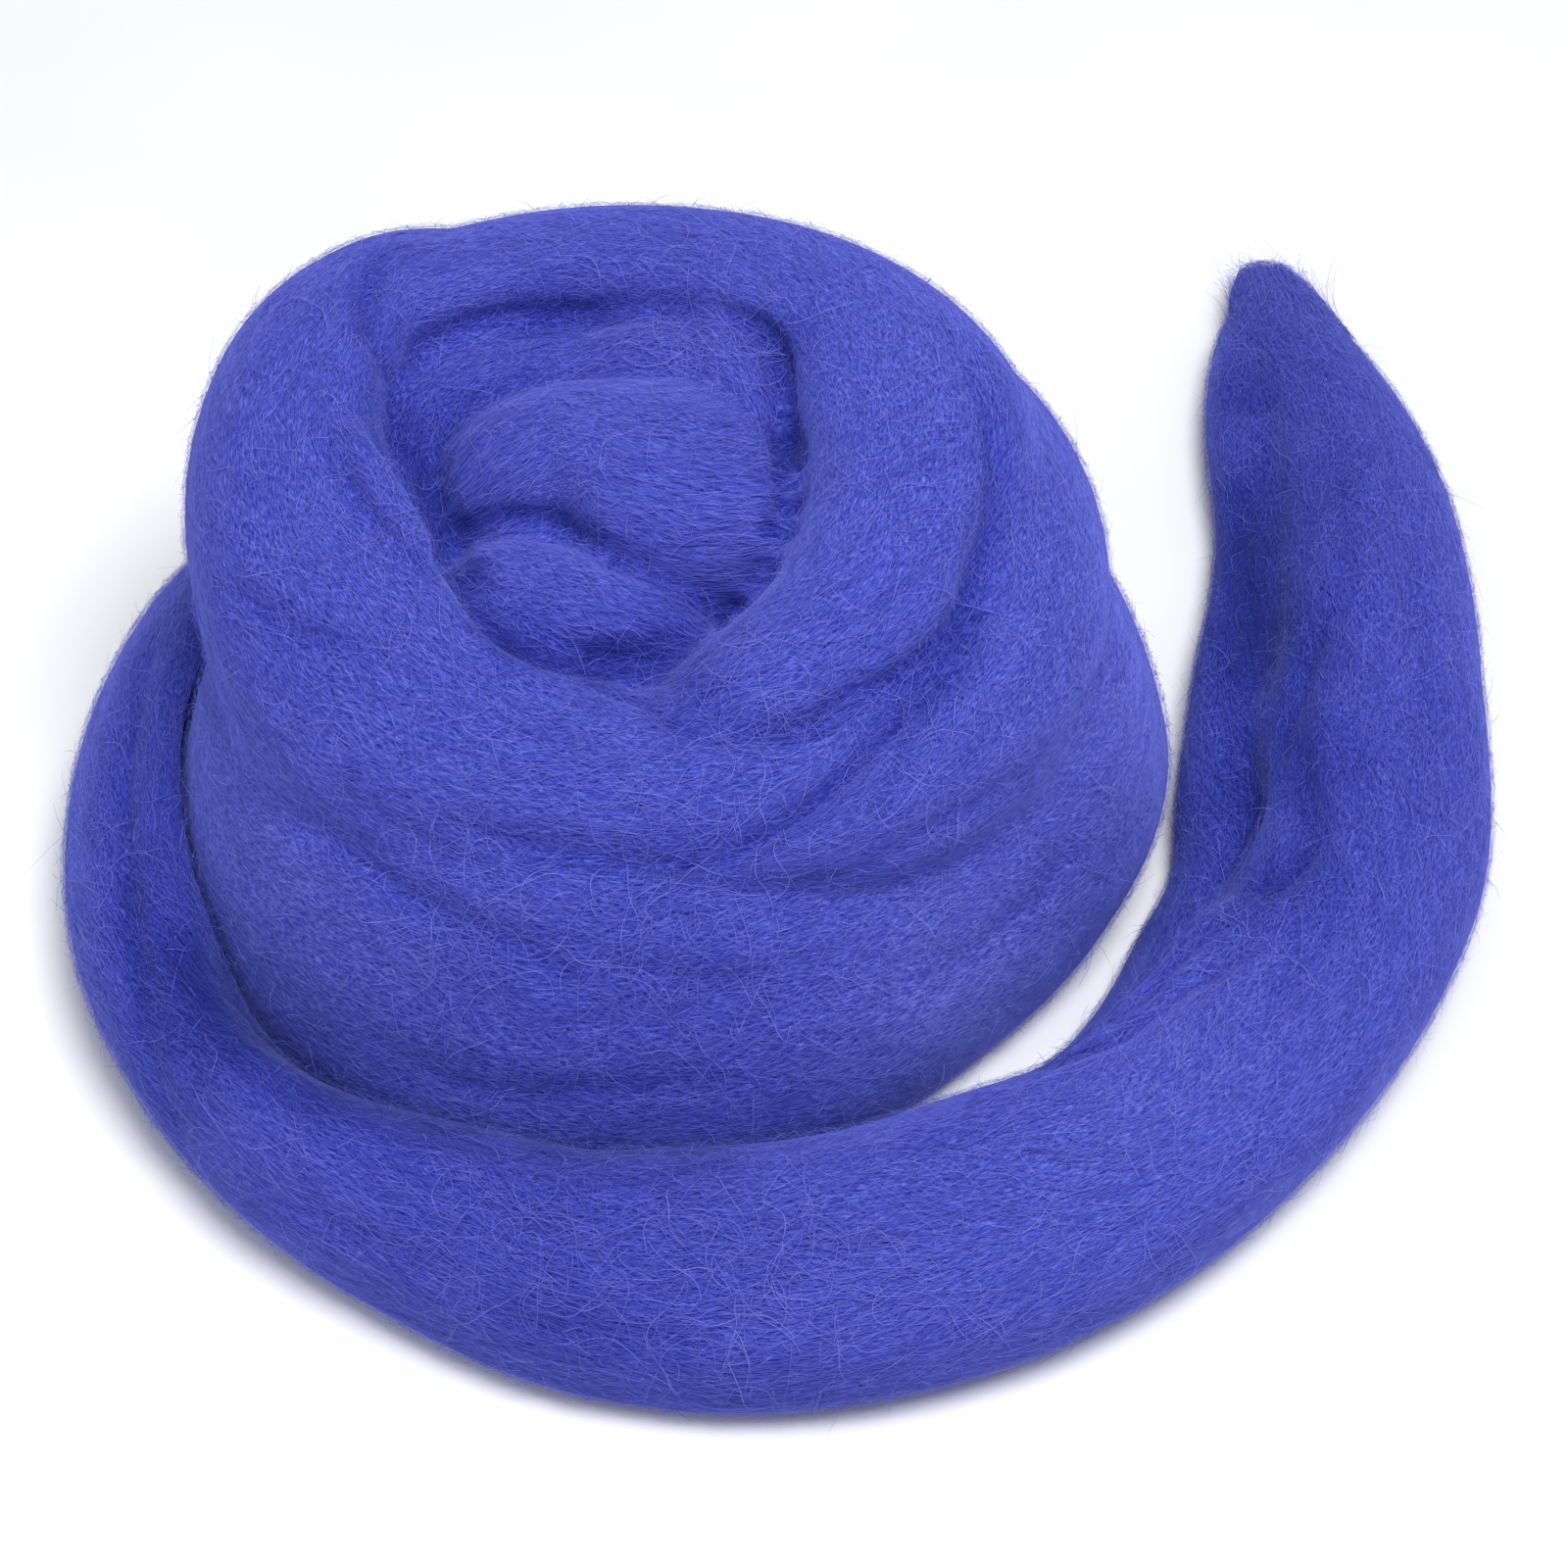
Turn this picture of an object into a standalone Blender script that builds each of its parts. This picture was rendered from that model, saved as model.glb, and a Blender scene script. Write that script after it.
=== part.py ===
"""Wool roving: one thick, soft strand of combed fibre, wound into a low ball with a loose end laid round it.

Lengths in the tables are millimetres. Angles run clockwise seen from above, from +X (the right):
90 is the front, 180 the left and 270 the back, and they go on counting from turn to turn.
"""

import bmesh
import bpy
import numpy as np
from mathutils import Matrix, Vector
from mathutils.bvhtree import BVHTree
from mathutils.kdtree import KDTree

MM = 0.001

# Where the ball's axis stands, so that the whole part is centred on the origin.
BALL_AXIS = (-29.4, -23.2)

# A strand's section is an oval: 2 is an ellipse, and more is fuller at the corners.
SECTION_FULLNESS = 2.3

# How closely the strands are shaped, and how many triangles each solid keeps.
STEPS_PER_ROW = 7
POINTS_ROUND = 26
LOBE_SEGMENTS = 40
LOBE_RINGS = 24
VOXEL = 2.6
SOFTEN_STEPS = 4
BALL_FACES = 9800
END_FACES = 6200

# The loose end keeps this far off the ball, and points this near the table are laid on it.
END_CLEARANCE = 1.2
REST_SNAP = 0.5

# How bluntly a crease fades at its two ends: less is blunter.
CREASE_FADE = 0.6

WOOL_COLOUR = (0.062, 0.078, 0.46, 1.0)
WOOL_ROUGHNESS = 0.95

# The columns of a wound strand: angle, radius, height, width, thickness, lean.

# The lowest turn. It starts behind the ball, goes once round and climbs on itself at the back.
BASE_TURN = [
    (228, 104, 26, 46, 36, 40),
    (250, 103, 28, 52, 38, 34),
    (270, 100, 30, 56, 40, 30),
    (300, 97, 31, 62, 40, 22),
    (330, 94.5, 32, 66, 40, 15),
    (360, 92.5, 32, 68, 40, 13),
    (405, 80, 32, 76, 40, 23),
    (450, 85, 32, 81, 40, 26),
    (495, 87, 32, 78, 40, 26),
    (540, 88, 34, 68, 40, 12),
    (585, 82, 44, 60, 40, 20),
    (630, 79, 57, 56, 40, 28),
    (665, 77, 64, 52, 38, 32),
]

# The second turn, from the right round the front to the shoulder at the back left.
UPPER_TURN = [
    (640, 58, 66, 44, 40, 40),
    (680, 56, 70, 44, 40, 45),
    (720, 55, 70, 44, 40, 48),
    (765, 55, 68, 44, 40, 50),
    (810, 57, 64, 46, 40, 53),
    (835, 59, 65, 56, 40, 51),
    (858, 63, 68, 62, 40, 50),
    (880, 69, 73, 59, 42, 53),
    (900, 77.5, 79, 49, 44, 58),
    (920, 87, 90, 45, 42, 66),
    (936, 93.5, 97, 42, 38, 74),
    (950, 97, 100, 32, 31, 78),
    (962, 95, 100, 22, 22, 80),
]

# The outer half of the second turn, which folds away under it at the front.
FOLDED_LOBE = [
    (640, 80, 66, 43, 36, 35),
    (665, 85.5, 75, 46, 38, 36),
    (690, 83, 77, 46, 38, 36),
    (720, 78, 69, 47, 38, 34),
    (750, 75, 67, 44, 34, 39),
    (780, 76, 67, 29, 26, 38),
    (800, 78, 66, 12, 12, 38),
    (812, 78, 65, 6, 6, 38),
]

# The top turn: twisted and narrow at the back left, full at the right, tucked in at the front.
TOP_TURN = [
    (925, 89, 90, 30, 25, 78),
    (950, 91, 98, 38, 29, 80),
    (990, 84.5, 100, 41, 28, 81),
    (1020, 77, 99, 50, 30, 78),
    (1050, 65, 94, 58, 34, 78),
    (1080, 52, 88, 51, 38, 74),
    (1110, 48, 81, 46, 38, 72),
    (1140, 45, 74, 40, 36, 72),
    (1160, 43, 68, 31, 30, 64),
    (1185, 40, 60, 24, 24, 60),
]

# The strand that shows deep in the hollow, left of the middle.
HOLLOW_STRAND = [
    (160, 50, 66, 24, 24, 45),
    (190, 56, 72, 28, 28, 45),
    (225, 62, 76, 30, 30, 45),
    (265, 62, 78, 30, 30, 45),
    (300, 56, 76, 26, 26, 45),
]

# The tucked-in middle, as rounded lobes: x, y and height from the foot of the ball's axis, the half sizes
# along x, y and z, and the turn about +Z.
MIDDLE_LOBES = [
    (-7, 32, 76, 40, 38, 30, 0),
    (-18, -3, 72, 30, 16, 17, -24),
    (0, 0, 4, 86, 86, 64, 0),
]

# The loose end, from the feathered tip round the front to where it passes behind the ball. The columns of a
# laid strand: x, y, height, width, thickness, lean.
LOOSE_END = [
    (158.5, 219, 5, 13, 8, 90),
    (159.5, 201, 8, 24, 13, 90),
    (162, 176, 10, 32, 19, 90),
    (167.5, 143, 11, 41, 24, 90),
    (171, 106, 12, 46, 27, 90),
    (170, 72, 13, 50, 29, 90),
    (166, 38, 13, 54, 30, 90),
    (161.5, 4, 13, 57, 30, 90),
    (154, -31, 14, 55, 31, 90),
    (133.5, -72.5, 14, 54, 32, 90),
    (102, -108, 14, 57, 33, 90),
    (70, -126, 14, 67, 33, 90),
    (37, -136, 14, 71, 33, 90),
    (5, -137, 14, 70, 33, 89),
    (-25, -132, 14, 59, 32, 88),
    (-71, -108, 15, 43, 32, 82),
    (-102, -66, 17, 41, 34, 68),
    (-114, -21, 19, 43, 36, 55),
    (-113.5, 20, 22, 43, 36, 48),
    (-100.5, 53, 24, 45, 36, 42),
    (-73, 76, 27, 44, 34, 40),
]

# The thinner inner half of the loose end, beside the lengthwise valley, which slips under at the bend.
INNER_HALF = [
    (155, 204, 4, 10, 8, 90),
    (150.5, 177, 8, 19, 15, 90),
    (147.5, 143, 9, 24, 17, 90),
    (147.5, 106, 9, 26, 18, 90),
    (143.5, 72, 9, 27, 18, 90),
    (137, 38, 9, 28, 17, 90),
    (131.5, 6, 8, 29, 16, 90),
    (128, -22, 8, 29, 15, 90),
    (116, -43, 7, 26, 14, 90),
    (105, -61, 7, 21, 13, 90),
    (92, -77, 7, 16, 13, 90),
    (77, -90, 7, 12, 12, 90),
]

# The rolled edge where the loose end folds over its inner half at the bend.
BEND_ROLL = [
    (152, -44, 17, 8, 8, 90),
    (139, -47, 19, 15, 13, 90),
    (124, -53, 20, 18, 15, 90),
    (114, -66, 19, 18, 15, 90),
    (103, -80, 19, 18, 15, 90),
    (90, -92, 18, 17, 14, 90),
    (74, -102, 16, 10, 10, 90),
]

# Creases pressed into the wound ball. The columns of a crease: depth, half width, and the points that it
# passes near, as (x, y, height).
BALL_CREASES = [
    (3.0, 7.0, [(64, 50, 109), (70, 34, 107), (73, 8, 102), (70, -14, 94), (64, -30, 89)]),
    (3.4, 6.0, [(72, -6, 97), (64, -30, 89), (52, -50, 85), (34, -70, 79), (15, -79, 72), (-9, -79, 69)]),
    (2.6, 5.0, [(66, -27, 89), (54, -41, 88), (41, -48, 87), (33, -55, 85), (20, -57, 86), (8, -48, 86)]),
    (2.2, 5.5, [(99, 6, 59), (94, -18, 63), (87, -37, 64), (77, -51, 66), (66, -63, 69)]),
    (2.2, 6.0, [(-66, 66, 113), (-66, 57, 115), (-66, 47, 113), (-62, 39, 106)]),
    (2.0, 5.0, [(-97, -18, 85), (-77, -24, 86), (-60, -29, 86), (-41, -34, 84)]),
    (1.6, 4.5, [(-69, -54, 50), (-49, -74, 50), (-30, -86, 50)]),
]

# Creases pressed into the loose end: the two valleys of the right side and the fold along the left side.
END_CREASES = [
    (
        5.0, 9.0,
        [(152, 150, 16), (149, 120, 16), (141, 59, 16), (133, 17, 16), (131, -23, 16), (134, -36, 18)],
    ),
    (3.5, 8.0, [(152, 44, 20), (151, -3, 20), (144, -37, 20)]),
    (3.5, 9.0, [(-114, 36, 38), (-120, -16, 36), (-112, -64, 32), (-93, -108, 30)]),
]


def clear_scene():
    for thing in list(bpy.data.objects):
        bpy.data.objects.remove(thing)


def smooth_rows(rows, steps):
    """The rows of a table with more between them, on a curve that passes through each."""
    points = np.array(rows, float)
    before = np.vstack([2 * points[0] - points[1], points[:-1]])
    after = np.vstack([points[1:], 2 * points[-1] - points[-2]])
    slopes = (after - before) / 2
    filled = []
    for index in range(len(points) - 1):
        for step in range(steps):
            t = step / steps
            filled.append(
                (2 * t**3 - 3 * t**2 + 1) * points[index]
                + (t**3 - 2 * t**2 + t) * slopes[index]
                + (3 * t**2 - 2 * t**3) * points[index + 1]
                + (t**3 - t**2) * slopes[index + 1]
            )
    filled.append(points[-1])
    return np.array(filled)


def wound_rows(rows):
    """The rows of a wound strand, with x and y in place of angle and radius."""
    angle, radius = np.radians(rows[:, 0]), rows[:, 1]
    return np.column_stack([radius * np.cos(angle), -radius * np.sin(angle), rows[:, 2:]])


def unit(vectors):
    return vectors / np.linalg.norm(vectors, axis=1, keepdims=True)


def strand_rings(rows):
    """One closed outline round the strand for each row: an oval, wide across and leaning over the ball."""
    centreline = rows[:, :3]
    width, thickness, lean = rows[:, 3:].T[:, :, None]
    lean = np.radians(lean)
    along = unit(np.gradient(centreline, axis=0))
    outward = unit(np.cross([0.0, 0.0, 1.0], along))
    upward = np.cross(along, outward)
    across = np.cos(lean) * upward - np.sin(lean) * outward
    face = np.cos(lean) * outward + np.sin(lean) * upward
    turn = np.linspace(0, 2 * np.pi, POINTS_ROUND, endpoint=False)
    power = 2 / SECTION_FULLNESS
    wide = np.sign(np.cos(turn)) * np.abs(np.cos(turn)) ** power * width / 2
    deep = np.sign(np.sin(turn)) * np.abs(np.sin(turn)) ** power * thickness / 2
    return centreline[:, None] + wide[:, :, None] * across[:, None] + deep[:, :, None] * face[:, None]


def add_loft(mesh, rings):
    """Skins the outlines into the bmesh and closes both ends."""
    made = [[mesh.verts.new(point) for point in ring] for ring in rings * MM]
    for first, second in zip(made, made[1:]):
        for index in range(len(first)):
            following = (index + 1) % len(first)
            mesh.faces.new((first[index], first[following], second[following], second[index]))
    mesh.faces.new(list(reversed(made[0])))
    mesh.faces.new(made[-1])


def add_lobe(mesh, x, y, height, half_x, half_y, half_z, turn):
    made = bmesh.ops.create_uvsphere(
        mesh, u_segments=LOBE_SEGMENTS, v_segments=LOBE_RINGS, radius=MM
    )["verts"]
    bmesh.ops.scale(mesh, vec=(half_x, half_y, half_z), verts=made)
    bmesh.ops.rotate(mesh, matrix=Matrix.Rotation(np.radians(turn), 3, "Z"), verts=made)
    bmesh.ops.translate(mesh, vec=Vector((x, y, height)) * MM, verts=made)


def press_crease(mesh, depth, half_width, points):
    """Presses a soft groove along a line on the surface, fading out at both ends."""
    surface = BVHTree.FromBMesh(mesh)
    line = smooth_rows(points, STEPS_PER_ROW)
    tree = KDTree(len(line))
    for index, point in enumerate(line):
        tree.insert(surface.find_nearest(Vector(point) * MM)[0], index)
    tree.balance()
    mesh.normal_update()
    for vert in mesh.verts:
        _, index, distance = tree.find(vert.co)
        near = distance / (half_width * MM)
        if near < 1:
            fade = np.sin(np.pi * (index + 0.5) / len(line)) ** CREASE_FADE
            vert.co -= vert.normal * depth * MM * fade * (1 - near**2) ** 2


def evaluated_mesh(thing):
    graph = bpy.context.evaluated_depsgraph_get()
    return bpy.data.meshes.new_from_object(thing.evaluated_get(graph))


def keep_largest_body(mesh):
    """Deletes the inner skins of any pocket that the strands closed in."""
    left = set(mesh.verts)
    bodies = []
    while left:
        body = set()
        reached = [left.pop()]
        while reached:
            vert = reached.pop()
            body.add(vert)
            for edge in vert.link_edges:
                other = edge.other_vert(vert)
                if other in left:
                    left.remove(other)
                    reached.append(other)
        bodies.append(body)
    bodies.sort(key=len)
    for body in bodies[:-1]:
        bmesh.ops.delete(mesh, geom=list(body), context="VERTS")


def cut_flat_beneath(mesh):
    """Cuts the underside off at the surface that the wool rests on, and closes it with one flat face."""
    for vert in mesh.verts:
        if abs(vert.co.z) < REST_SNAP * MM:
            vert.co.z = 0.0
    everything = mesh.verts[:] + mesh.edges[:] + mesh.faces[:]
    bmesh.ops.bisect_plane(
        mesh, geom=everything, dist=1e-7, plane_co=(0, 0, 0), plane_no=(0, 0, 1), clear_inner=True
    )
    rim = [edge for edge in mesh.edges if edge.is_boundary]
    bmesh.ops.holes_fill(mesh, edges=rim, sides=0)
    bmesh.ops.triangulate(mesh, faces=mesh.faces[:])
    bmesh.ops.recalc_face_normals(mesh, faces=mesh.faces[:])


def wool_object(name, mesh, collection):
    data = bpy.data.meshes.new(name)
    mesh.to_mesh(data)
    mesh.free()
    thing = bpy.data.objects.new(name, data)
    collection.objects.link(thing)
    return thing


def reshape(thing, change):
    """Applies the object's modifiers and then an edit in bmesh."""
    data = evaluated_mesh(thing)
    thing.modifiers.clear()
    mesh = bmesh.new()
    mesh.from_mesh(data)
    change(mesh)
    mesh.to_mesh(thing.data)
    mesh.free()


def fuse_strands(thing, creases, faces):
    """Grows the separate strands into one body, presses its creases, and leaves about this many triangles."""
    fuse = thing.modifiers.new("fuse", "REMESH")
    fuse.mode = "VOXEL"
    fuse.voxel_size = VOXEL * MM
    reshape(thing, keep_largest_body)
    for crease in creases:
        reshape(thing, lambda mesh: press_crease(mesh, *crease))
    soften = thing.modifiers.new("soften", "SMOOTH")
    soften.factor = 0.5
    soften.iterations = SOFTEN_STEPS
    thin = thing.modifiers.new("thin", "DECIMATE")
    thin.ratio = faces / (2 * len(thing.data.polygons))
    reshape(thing, lambda mesh: None)


def grown_copy(thing, distance):
    """A copy whose surface stands this far outside the original's."""
    mesh = bmesh.new()
    mesh.from_mesh(thing.data)
    mesh.normal_update()
    for vert in mesh.verts:
        vert.co += vert.normal * distance
    return wool_object("grown_" + thing.name, mesh, thing.users_collection[0])


def finish(thing, material):
    thing.location = (BALL_AXIS[0] * MM, BALL_AXIS[1] * MM, 0)
    thing.data.materials.clear()
    thing.data.materials.append(material)
    thing.data.shade_smooth()


def make_wound_ball(collection):
    mesh = bmesh.new()
    for table in (BASE_TURN, UPPER_TURN, FOLDED_LOBE, TOP_TURN, HOLLOW_STRAND):
        add_loft(mesh, strand_rings(wound_rows(smooth_rows(table, STEPS_PER_ROW))))
    for lobe in MIDDLE_LOBES:
        add_lobe(mesh, *lobe)
    ball = wool_object("wound_ball", mesh, collection)
    fuse_strands(ball, BALL_CREASES, BALL_FACES)
    reshape(ball, cut_flat_beneath)
    return ball


def make_loose_end(collection, ball):
    mesh = bmesh.new()
    for table in (LOOSE_END, INNER_HALF, BEND_ROLL):
        add_loft(mesh, strand_rings(smooth_rows(table, STEPS_PER_ROW)))
    end = wool_object("loose_end", mesh, collection)
    fuse_strands(end, END_CREASES, END_FACES)
    grown = grown_copy(ball, END_CLEARANCE * MM)
    keep_off = end.modifiers.new("keep_off_ball", "BOOLEAN")
    keep_off.operation = "DIFFERENCE"
    keep_off.solver = "EXACT"
    keep_off.object = grown
    reshape(end, keep_largest_body)
    bpy.data.objects.remove(grown)
    reshape(end, cut_flat_beneath)
    return end


def wool_material():
    wool = bpy.data.materials.new("blue_wool")
    wool.use_nodes = True
    shader = wool.node_tree.nodes["Principled BSDF"]
    shader.inputs["Base Color"].default_value = WOOL_COLOUR
    shader.inputs["Roughness"].default_value = WOOL_ROUGHNESS
    shader.inputs["Metallic"].default_value = 0.0
    return wool


def main():
    clear_scene()
    collection = bpy.data.collections.new("wool_roving")
    bpy.context.scene.collection.children.link(collection)
    wool = wool_material()
    ball = make_wound_ball(collection)
    end = make_loose_end(collection, ball)
    finish(ball, wool)
    finish(end, wool)


main()
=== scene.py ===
"""Wool roving: a ball of combed blue wool with its loose end laid round it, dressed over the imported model.

Lengths are millimetres from the foot of the ball's axis, until a mesh is made. Angles run clockwise seen
from above, from +X (the right): 90 is the front, 180 the left and 270 the back, and they count on from turn
to turn. Colours are linear.
"""

import bmesh
import bpy
import numpy as np
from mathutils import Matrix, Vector
from mathutils.bvhtree import BVHTree
from mathutils.kdtree import KDTree


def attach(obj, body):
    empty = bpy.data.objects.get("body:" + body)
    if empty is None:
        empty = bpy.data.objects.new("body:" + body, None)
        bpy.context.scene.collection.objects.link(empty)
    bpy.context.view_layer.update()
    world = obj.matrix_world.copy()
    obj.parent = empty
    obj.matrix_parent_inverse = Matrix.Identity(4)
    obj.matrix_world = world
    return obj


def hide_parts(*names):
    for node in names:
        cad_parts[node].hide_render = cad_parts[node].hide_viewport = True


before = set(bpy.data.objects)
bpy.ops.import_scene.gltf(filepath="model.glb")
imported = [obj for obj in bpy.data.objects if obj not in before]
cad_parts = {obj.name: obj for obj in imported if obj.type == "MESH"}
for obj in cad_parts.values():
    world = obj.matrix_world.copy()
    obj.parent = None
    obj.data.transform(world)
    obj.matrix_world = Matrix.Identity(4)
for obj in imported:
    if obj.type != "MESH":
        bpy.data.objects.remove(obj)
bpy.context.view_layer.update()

MM = 0.001
BALL_AXIS = np.array([-29.4, -23.2, 0.0])

# ---------------------------------------------------------------- the strands, as the solids have them

SECTION_FULLNESS = 2.3
POINTS_ROUND = 132
RUN_STEP = 1.8
STEPS_PER_ROW = 20
# The mean girth of a strand's section, as a share of its mean width and thickness added up.
GIRTH_SHARE = 1.56
# How finely a lobe is divided, round it and up it.
LOBE_SEGMENTS = (96, 60)

# The columns of a wound strand: angle, radius, height, width, thickness, lean.
BASE_TURN = [
    (228, 104, 26, 46, 36, 40),
    (250, 103, 28, 52, 38, 34),
    (270, 100, 30, 56, 40, 30),
    (300, 97, 31, 62, 40, 22),
    (330, 94.5, 32, 66, 40, 15),
    (360, 92.5, 32, 68, 40, 13),
    (405, 80, 32, 76, 40, 23),
    (450, 85, 32, 81, 40, 26),
    (495, 87, 32, 78, 40, 26),
    (540, 88, 34, 68, 40, 12),
    (585, 82, 44, 60, 40, 20),
    (630, 79, 57, 56, 40, 28),
    (665, 77, 64, 52, 38, 32),
]
UPPER_TURN = [
    (640, 58, 66, 44, 40, 40),
    (680, 56, 70, 44, 40, 45),
    (720, 55, 70, 44, 40, 48),
    (765, 55, 68, 44, 40, 50),
    (810, 57, 64, 46, 40, 53),
    (835, 59, 65, 56, 40, 51),
    (858, 63, 68, 62, 40, 50),
    (880, 69, 73, 59, 42, 53),
    (900, 77.5, 79, 49, 44, 58),
    (920, 87, 90, 45, 42, 66),
    (936, 93.5, 97, 42, 38, 74),
    (950, 97, 100, 32, 31, 78),
    (962, 95, 100, 22, 22, 80),
]
FOLDED_LOBE = [
    (640, 80, 66, 43, 36, 35),
    (665, 85.5, 75, 46, 38, 36),
    (690, 83, 77, 46, 38, 36),
    (720, 78, 69, 47, 38, 34),
    (750, 75, 67, 44, 34, 39),
    (780, 76, 67, 29, 26, 38),
    (800, 78, 66, 12, 12, 38),
    (812, 78, 65, 6, 6, 38),
]
TOP_TURN = [
    (925, 89, 90, 30, 25, 78),
    (950, 91, 98, 38, 29, 80),
    (990, 84.5, 100, 41, 28, 81),
    (1020, 77, 99, 50, 30, 78),
    (1050, 65, 94, 58, 34, 78),
    (1080, 52, 88, 51, 38, 74),
    (1110, 48, 81, 46, 38, 72),
    (1140, 45, 74, 40, 36, 72),
    (1160, 43, 68, 31, 30, 64),
    (1185, 40, 60, 24, 24, 60),
]
HOLLOW_STRAND = [
    (160, 52, 66, 26, 26, 45),
    (190, 60, 73, 36, 34, 45),
    (210, 67, 77, 42, 38, 45),
    (232, 67, 79, 42, 38, 45),
    (265, 64, 79, 34, 32, 45),
    (300, 56, 76, 26, 26, 45),
]

# The columns of a laid strand: x, y, height, width, thickness, lean. The loose end runs from its tip.
MIDDLE_FOLD = [
    (-48, 15, 75, 10, 16, 90),
    (-44, 17, 76, 30, 34, 90),
    (-36, 22, 77, 42, 48, 90),
    (-24, 26, 77, 47, 57, 90),
    (-12, 25, 77, 55, 60, 90),
    (0, 21, 77, 66, 60, 90),
    (12, 19, 76, 70, 56, 90),
    (21, 21, 74, 60, 47, 90),
    (28, 24, 72, 38, 30, 90),
    (32, 26, 70, 12, 12, 90),
]
BACK_FOLD = [
    (-26, 56, 76, 10, 16, 90),
    (-16, 57, 80, 26, 38, 90),
    (-2, 57, 82, 34, 46, 90),
    (12, 53, 82, 36, 48, 90),
    (23, 43, 80, 34, 44, 90),
    (29, 30, 76, 26, 34, 90),
    (32, 20, 72, 12, 18, 90),
]
TUCKED_FOLD = [
    (-47, -3, 70, 10, 12, 90),
    (-44, -5, 71, 24, 28, 90),
    (-36, -9, 72, 36, 38, 90),
    (-25, -14, 72, 42, 42, 90),
    (-12, -19, 72, 41, 41, 90),
    (0, -22, 71, 34, 36, 90),
    (9, -24, 69, 22, 26, 90),
    (15, -25, 66, 8, 12, 90),
]
EDGE_LOCK = [
    (-73, 27, 107, 4, 3, 70),
    (-65, 12, 105, 9, 7, 70),
    (-57, -2, 100, 11, 8, 70),
    (-50, -15, 96, 9, 7, 70),
    (-43, -27, 92, 4, 3, 70),
]
CORE_LOBE = (0, 0, 4, 86, 86, 64)
LOOSE_END = [
    (158.5, 219, 5, 13, 8, 90),
    (159.5, 201, 8, 24, 13, 90),
    (162, 176, 10, 32, 19, 90),
    (167.5, 143, 11, 41, 24, 90),
    (171, 106, 12, 46, 27, 90),
    (170, 72, 13, 50, 29, 90),
    (166, 38, 13, 54, 30, 90),
    (161.5, 4, 13, 57, 30, 90),
    (154, -31, 14, 55, 31, 90),
    (133.5, -72.5, 14, 54, 32, 90),
    (102, -108, 14, 57, 33, 90),
    (70, -126, 14, 67, 33, 90),
    (37, -136, 14, 71, 33, 90),
    (5, -137, 14, 70, 33, 89),
    (-25, -132, 14, 59, 32, 88),
    (-71, -108, 15, 43, 32, 82),
    (-102, -66, 17, 41, 34, 68),
    (-114, -21, 19, 43, 36, 55),
    (-113.5, 20, 22, 43, 36, 48),
    (-100.5, 53, 24, 45, 36, 42),
    (-73, 76, 27, 44, 34, 40),
]
INNER_HALF = [
    (155, 204, 4, 10, 8, 90),
    (150.5, 177, 8, 19, 15, 90),
    (147.5, 143, 9, 24, 17, 90),
    (147.5, 106, 9, 26, 18, 90),
    (143.5, 72, 9, 27, 18, 90),
    (137, 38, 9, 28, 17, 90),
    (131.5, 6, 8, 29, 16, 90),
    (128, -22, 8, 29, 15, 90),
    (116, -43, 7, 26, 14, 90),
    (105, -61, 7, 21, 13, 90),
    (92, -77, 7, 16, 13, 90),
    (77, -90, 7, 12, 12, 90),
]
BEND_ROLL = [
    (152, -44, 17, 8, 8, 90),
    (139, -47, 19, 15, 13, 90),
    (124, -53, 20, 18, 15, 90),
    (114, -66, 19, 18, 15, 90),
    (103, -80, 19, 18, 15, 90),
    (90, -92, 18, 17, 14, 90),
    (74, -102, 16, 10, 10, 90),
]

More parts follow.
